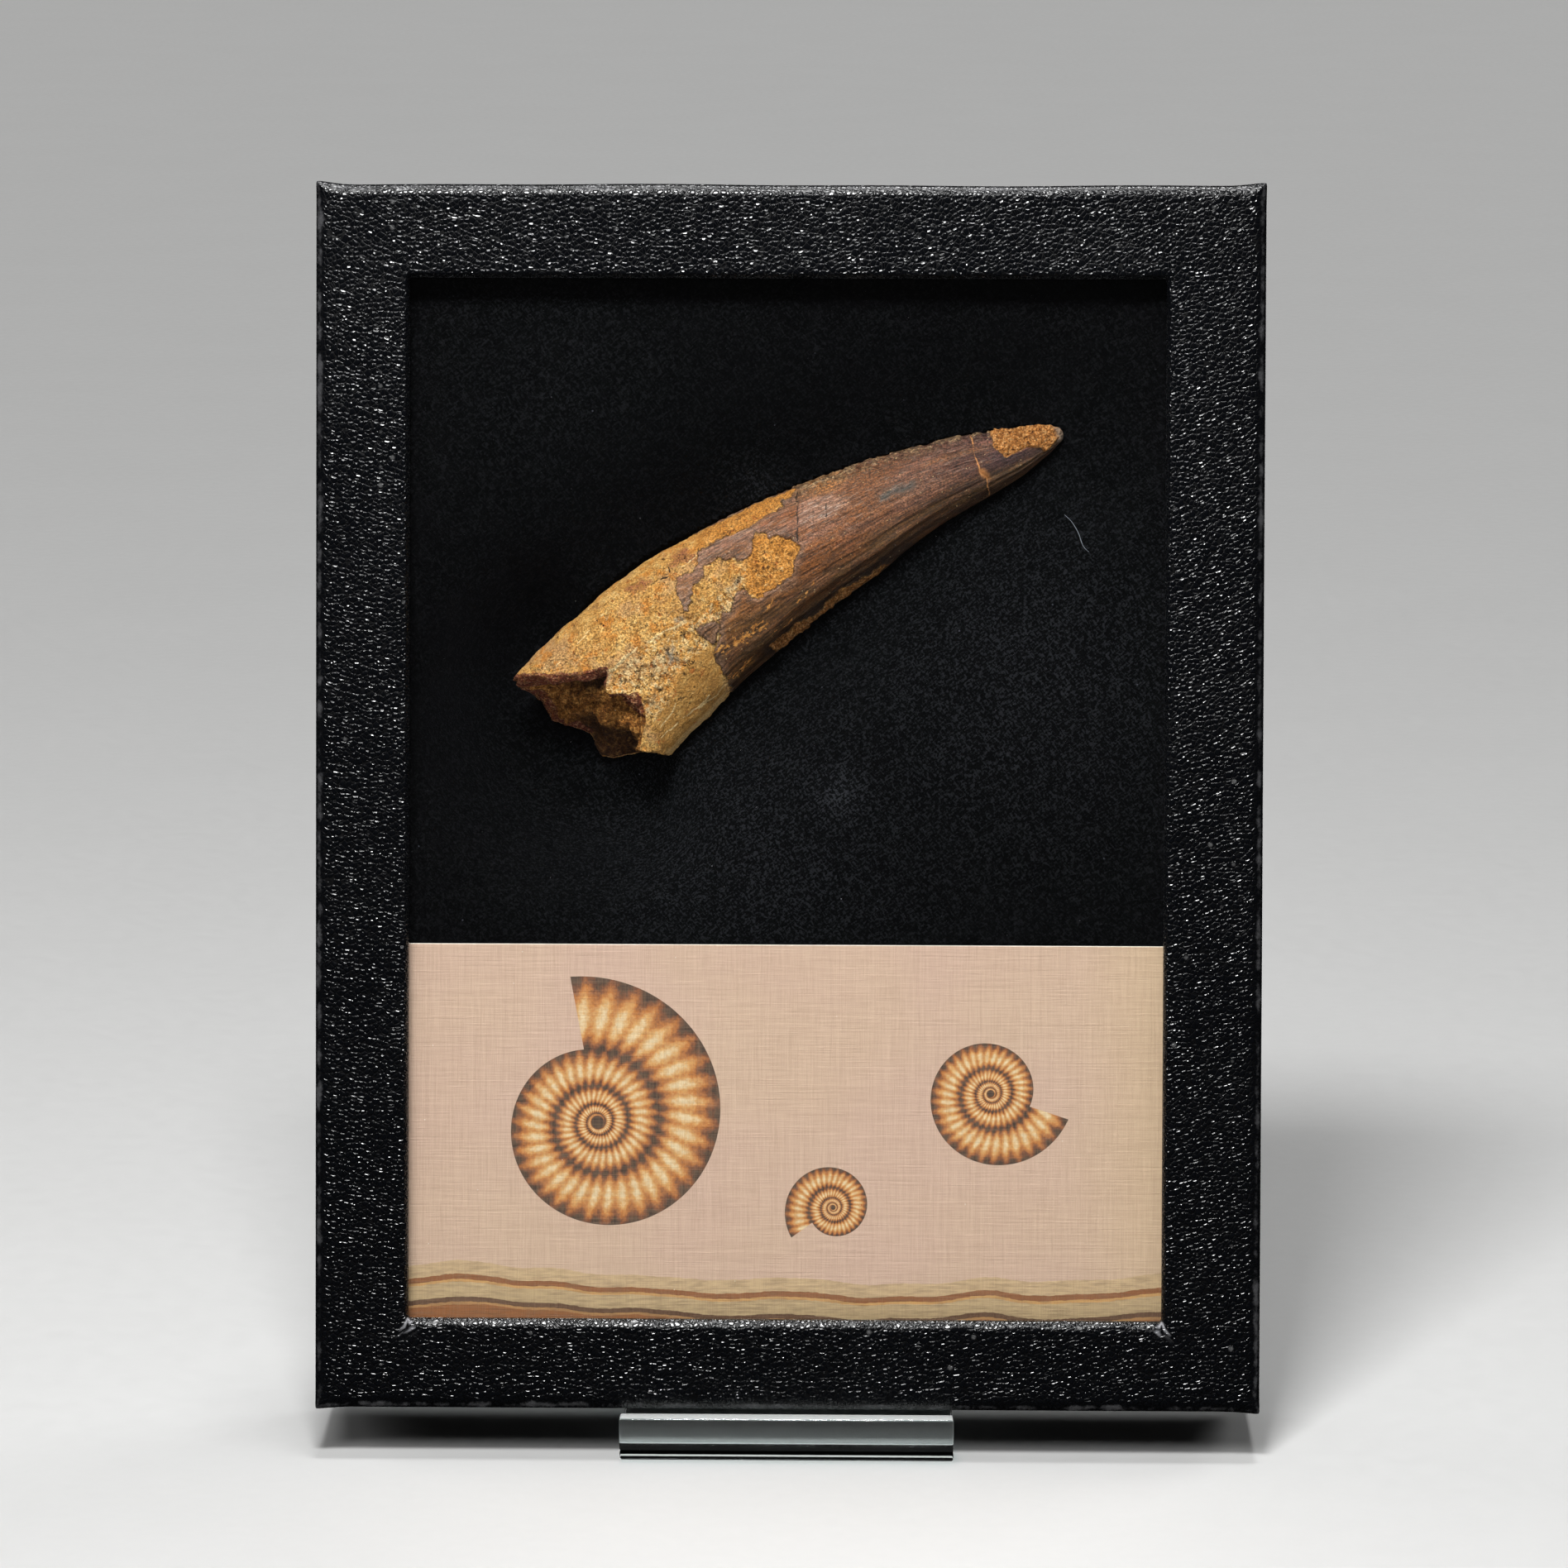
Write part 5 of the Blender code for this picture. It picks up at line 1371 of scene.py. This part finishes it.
def addCard(material):
    side = box["width"] / 2 - box["trayInside"] - box["play"]
    bottom = box["trayInside"] + box["play"]
    bevel = card["bevel"]

    def spaced(start, end):
        inside = np.linspace(start + bevel, end - bevel, round((end - start) / card["step"]))
        return np.concatenate(([start], inside, [end]))

    alongX, alongZ = spaced(-side, side), spaced(bottom, card["top"])
    columns, rows = len(alongX), len(alongZ)
    gridX, gridZ = np.meshgrid(alongX, alongZ)
    x, z = gridX.ravel(), gridZ.ravel()
    outermost = np.maximum(np.abs(x) - side, np.maximum(bottom - z, z - card["top"])) > -1e-6
    front = np.column_stack((x, box["cardFront"] + bevel * outermost, z))
    back = np.column_stack((x, np.full(len(x), box["cardFront"] + card["thickness"]), z))
    border = np.concatenate((
        np.arange(columns), np.arange(1, rows) * columns + columns - 1,
        (rows - 1) * columns + np.arange(columns - 2, -1, -1), np.arange(rows - 2, 0, -1) * columns,
    ))
    rim = front[border].copy()
    rim[:, 1] = box["cardFront"] + card["thickness"] * 0.7
    points = np.vstack((front, back, rim))
    faces = gridFaces(rows, columns, loopColumns=False)
    faces += (np.array(gridFaces(rows, columns, loopColumns=False)) + len(front)).tolist()
    many, first = len(border), 2 * len(front)
    for k in range(many):
        here, following = int(border[k]), int(border[(k + 1) % many])
        middle, after = first + k, first + (k + 1) % many
        faces.append([here, following, after, middle])
        faces.append([middle, after, following + len(front), here + len(front)])
    piece = addPiece("linen_card", stand(points), faces, material, 30)
    store(piece, "cardPlace", np.column_stack((points[:, 0], np.zeros(len(points)), points[:, 2])) / 1000)
    store(piece, "cutEdge", np.concatenate((outermost, np.zeros(len(back)), np.ones(many))))
    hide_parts("label_card")


# Easel
easel = {
    "width": 55.0,
    "sheet": 3.0,
    "lipHeight": 8.0,
    "lipClearance": 0.8,
    "plateLength": 95.0,
    "legAngle": math.radians(25),
    "footBend": 1.9,
    "seatBend": 2.5,
    "topBend": 6.0,
    "bendSteps": 14,
    "edgeRound": 0.4,
    "tint": (0.955, 0.98, 0.975, 1),
    "clear": (0.9, 0.93, 0.93, 1),
}


def bentLine(corners, radii):
    # points and left-hand normals along straight runs joined by arcs
    points = [(corners[0], (corners[1] - corners[0]).normalized())]
    for before, corner, after, radius in zip(corners, corners[1:], corners[2:], radii):
        into, out = (corner - before).normalized(), (after - corner).normalized()
        turn = -into.angle_signed(out)
        reach = radius * math.tan(abs(turn) / 2)
        left = Vector((-into.y, into.x)) * math.copysign(1, turn)
        centre = corner - into * reach + left * radius
        for step in range(easel["bendSteps"] + 1):
            swing = Matrix.Rotation(turn * step / easel["bendSteps"], 2)
            points.append((centre - swing @ (left * radius), swing @ into))
    points.append((corners[-1], (corners[-1] - corners[-2]).normalized()))
    return points


def easelLine():
    heel = Vector(box["heel"][1:])
    up = Vector((math.sin(box["lean"]), math.cos(box["lean"])))
    back = Vector((math.cos(box["lean"]), -math.sin(box["lean"])))
    sheet, leg = easel["sheet"], easel["legAngle"]
    plate = heel + back * (box["play"] + sheet / 2)
    seat = plate - up * ((plate.y - sheet / 2) / up.y)
    lip = heel.x - box["depth"] * math.cos(box["lean"]) - easel["lipClearance"] - sheet / 2
    top = seat + up * easel["plateLength"]
    down = Vector((math.sin(leg), -math.cos(leg)))
    foot = top + down * ((top.y - math.sin(leg) * sheet / 2) / math.cos(leg))
    corners = [Vector((lip, easel["lipHeight"])), Vector((lip, sheet / 2)), seat, top, foot]
    return bentLine(corners, (easel["footBend"], easel["seatBend"], easel["topBend"]))


def easelSide(inset):
    # the sheet's side view as a closed outline, shrunk by the inset
    half = easel["sheet"] / 2
    line = easelLine()
    turn = easel["edgeRound"]
    start, end = line[0], line[-1]
    reach, corner = half - inset, turn - inset
    outline = []
    for point, along in line[1:-1]:
        outline.append(point + Vector((-along.y, along.x)) * reach)
    for (point, along), sense in ((end, 1), (start, -1)):
        out = along * sense
        left = Vector((-out.y, out.x))
        for side in (1, -1):
            for step in range(5):
                angle = math.radians(90 * step / 4)
                if side == -1:
                    angle = math.radians(90) - angle
                middle = point - out * (turn) + left * side * (half - turn)
                outline.append(middle + (out * math.sin(angle) + left * side * math.cos(angle)) * max(corner, 0.0))
        if sense == 1:
            outline += [p + Vector((a.y, -a.x)) * reach for p, a in reversed(line[1:-1])]
    return np.array([tuple(p) for p in outline])


def addEasel(material):
    half, turn = easel["width"] / 2, easel["edgeRound"]
    rows = []
    places = [(-half + turn * (1 - math.cos(a)), turn * (1 - math.sin(a))) for a in np.radians(np.linspace(0, 90, 6))]
    places += [(x, 0.0) for x in np.linspace(-half + turn, half - turn, 24)[1:-1]]
    places += [(-x, inset) for x, inset in places[5::-1]]
    for x, inset in places:
        outline = easelSide(min(inset, turn - 0.02))
        rows.append(np.column_stack((np.full(len(outline), x), outline)))
    rows = np.array(rows)
    count, around = rows.shape[:2]
    faces = gridFaces(count, around)
    faces += [list(range(around)), list(range((count - 1) * around, count * around))]
    piece = addPiece("acrylic_easel", rows.reshape(-1, 3) / 1000, faces, material, 50)
    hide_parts("easel")


# Loose fibres
fibres = {
    "stray_fibre": {"path": ((45.3, 148.2), (46.5, 147.0), (47.6, 145.1), (48.3, 143.1), (49.3, 142.0)), "thick": 0.06},
    "lint": {"path": ((5.2, 143.4), (5.8, 143.0)), "thick": 0.06},
}


def addFibre(name, path, thick, material):
    side = box["width"] / 2 - box["trayInside"] - box["play"]
    bottom = box["trayInside"] + box["play"]
    places = np.array(path, float)
    spread = np.linspace(0, len(places) - 1, 24)
    x = smoothBetween(list(enumerate(places[:, 0])), spread)
    z = smoothBetween(list(enumerate(places[:, 1])), spread)
    depth = feltDepth(x, z, -side, side, bottom, box["height"] - bottom) - thick
    line = np.column_stack((x, depth, z))
    rows = []
    for k, point in enumerate(line):
        along = line[min(k + 1, len(line) - 1)] - line[max(k - 1, 0)]
        along /= np.linalg.norm(along)
        side_ = np.cross(along, (0.0, 1.0, 0.0))
        side_ /= np.linalg.norm(side_)
        other = np.cross(along, side_)
        angles = np.linspace(0, 2 * math.pi, 7)[:-1, None]
        radius = thick / 2 * (0.4 + 0.6 * math.sin(math.pi * (k + 0.5) / len(line)))
        rows.append(point + radius * (np.cos(angles) * side_ + np.sin(angles) * other))
    rows = np.array(rows)
    count, around = rows.shape[:2]
    faces = gridFaces(count, around)
    faces += [list(range(around)), list(range((count - 1) * around, count * around))]
    addPiece(name, stand(rows.reshape(-1, 3)), faces, material)


def fibreMaterial():
    material, tree, shader = newMaterial("paleFibre", Sheen_Weight=0.3)
    along = noise(tree, objectPlace(tree), 0.8, 2.0)
    feed(tree, shader.inputs["Base Color"], colourBands(tree, along, ((0.3, (0.16, 0.18, 0.22)), (0.7, (0.4, 0.43, 0.5)))))
    feed(tree, shader.inputs["Roughness"], level(tree, along, 0.0, 1.0, 0.6, 0.9))
    return material


# Studio
studio = {
    "floor": 9.0,
    "floorColour": (0.52, 0.52, 0.515, 1),
    "backdrop": (0.78, 0.78, 0.77, 1),
    "ambient": 0.055,
    "mirrored": 0.014,
    "lamps": {
        "sunInFront": {
            "kind": "SUN", "location": (-0.25, -0.7, 0.9), "aim": (0, 0, 0.1), "energy": 0.9,
            "angle": math.radians(20), "mirrored": False,
        },
        "sunOverhead": {
            "kind": "SUN", "location": (0.05, 0.1, 1.0), "aim": (0, 0, 0), "energy": 1.25,
            "angle": math.radians(10), "mirrored": True,
        },
        "sunBehind": {
            "kind": "SUN", "location": (0.85, 0.6, 0.8), "aim": (0, 0, 0), "energy": 0.7,
            "angle": math.radians(30), "mirrored": True,
        },
        "sunBeside": {
            "kind": "SUN", "location": (-0.9, 0.35, 0.5), "aim": (0, 0, 0), "energy": 0.4,
            "angle": math.radians(30), "mirrored": True,
        },
        "softboxAbove": {
            "kind": "AREA", "location": (-0.06, -0.34, 0.62), "aim": (0, 0, 0.11), "energy": 4.6,
            "shape": "RECTANGLE", "size": 0.16, "size_y": 0.11, "mirrored": True,
        },
    },
}


def addStudio():
    shape = bmesh.new()
    bmesh.ops.create_circle(shape, cap_ends=True, segments=96, radius=studio["floor"])
    mesh = bpy.data.meshes.new("floor")
    shape.to_mesh(mesh)
    shape.free()
    material, tree, shader = newMaterial("paleFloor", IOR=1.4)
    place = objectPlace(tree)
    tone = level(tree, noise(tree, place, 60.0, 4.0), 0.3, 0.7, 0.0, 0.06)
    feed(tree, shader.inputs["Base Color"], mixColours(tree, tone, studio["floorColour"], (0.4, 0.4, 0.39, 1)))
    feed(tree, shader.inputs["Roughness"], level(tree, noise(tree, place, 4.0, 2.0), 0.3, 0.7, 0.6, 0.75))
    mesh.materials.append(material)
    floor = bpy.data.objects.new("floor", mesh)
    floor.location.z = -0.0003
    floor.visible_glossy = False  # the black box would mirror it as a grey haze
    bpy.context.scene.collection.objects.link(floor)

    world = bpy.context.scene.world or bpy.data.worlds.new("studio")
    bpy.context.scene.world = world
    world.use_nodes = True
    tree = world.node_tree
    tree.nodes.clear()
    rays = put(tree, "LightPath").outputs
    mirrored = work(tree, "MINIMUM", rays["Glossy Depth"], 1.0)
    straight = work(tree, "MULTIPLY", rays["Is Transmission Ray"], work(tree, "SUBTRACT", 1.0, mirrored))
    seen = work(tree, "MAXIMUM", rays["Is Camera Ray"], straight)
    strength = put(tree, "Mix", {0: mirrored, 2: studio["ambient"], 3: studio["mirrored"]}, data_type="FLOAT").outputs[0]
    strength = put(tree, "Mix", {0: seen, 2: strength, 3: 1.0}, data_type="FLOAT").outputs[0]
    glow = put(tree, "Background", {"Color": studio["backdrop"], "Strength": strength})
    out = put(tree, "OutputWorld")
    feed(tree, out.inputs["Surface"], glow.outputs[0])


def addLamp(name, kind, location, aim, energy, mirrored, **settings):
    lamp = bpy.data.lights.new(name, kind)
    lamp.energy = energy
    for setting, value in settings.items():
        setattr(lamp, setting, value)
    made = bpy.data.objects.new(name, lamp)
    made.location = location
    made.rotation_mode = "QUATERNION"
    made.rotation_quaternion = (Vector(aim) - Vector(location)).to_track_quat("-Z", "Y")
    made.visible_glossy = mirrored
    bpy.context.scene.collection.objects.link(made)


def addCamera():
    eye, right, above, ahead = cameraPlace()
    turned = [leanTurn @ direction for direction in (right, above, -ahead)]
    data = bpy.data.cameras.new("camera")
    data.sensor_fit = "HORIZONTAL"
    data.angle = camera["view"]
    data.clip_start, data.clip_end = 0.05, 50.0
    made = bpy.data.objects.new("camera", data)
    matrix = Matrix.Identity(4)
    for column, direction in enumerate(turned):
        for row in range(3):
            matrix[row][column] = direction[row]
    matrix.translation = Vector(stand([eye])[0])
    made.matrix_world = matrix
    bpy.context.scene.collection.objects.link(made)
    bpy.context.scene.camera = made


# Making
addCamera()
addStudio()
for name, lamp in studio["lamps"].items():
    addLamp(name, **lamp)
print("studio made")

addLid(grainedPaper())
print("lid made")
addTray(blackBoard())
print("tray made")
windowGlass = clearMaterial("windowGlass", glass["tint"], glass["clear"], 1.5, 0.02, 0.000002)
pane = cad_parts["glass_pane"]
pane.data.materials.clear()
pane.data.materials.append(windowGlass)
addTooth(fossilMaterial())
print("tooth made")
addFelt(feltMaterial())
print("felt made")
addCard(cardMaterial())
print("card made")
addEasel(clearMaterial("clearAcrylic", easel["tint"], easel["clear"], 1.49, 0.05, 0.000004))
print("easel made")
pale = fibreMaterial()
for name, fibre in fibres.items():
    addFibre(name, fibre["path"], fibre["thick"], pale)
print("fibres made")

bpy.context.scene.view_settings.view_transform = "Standard"
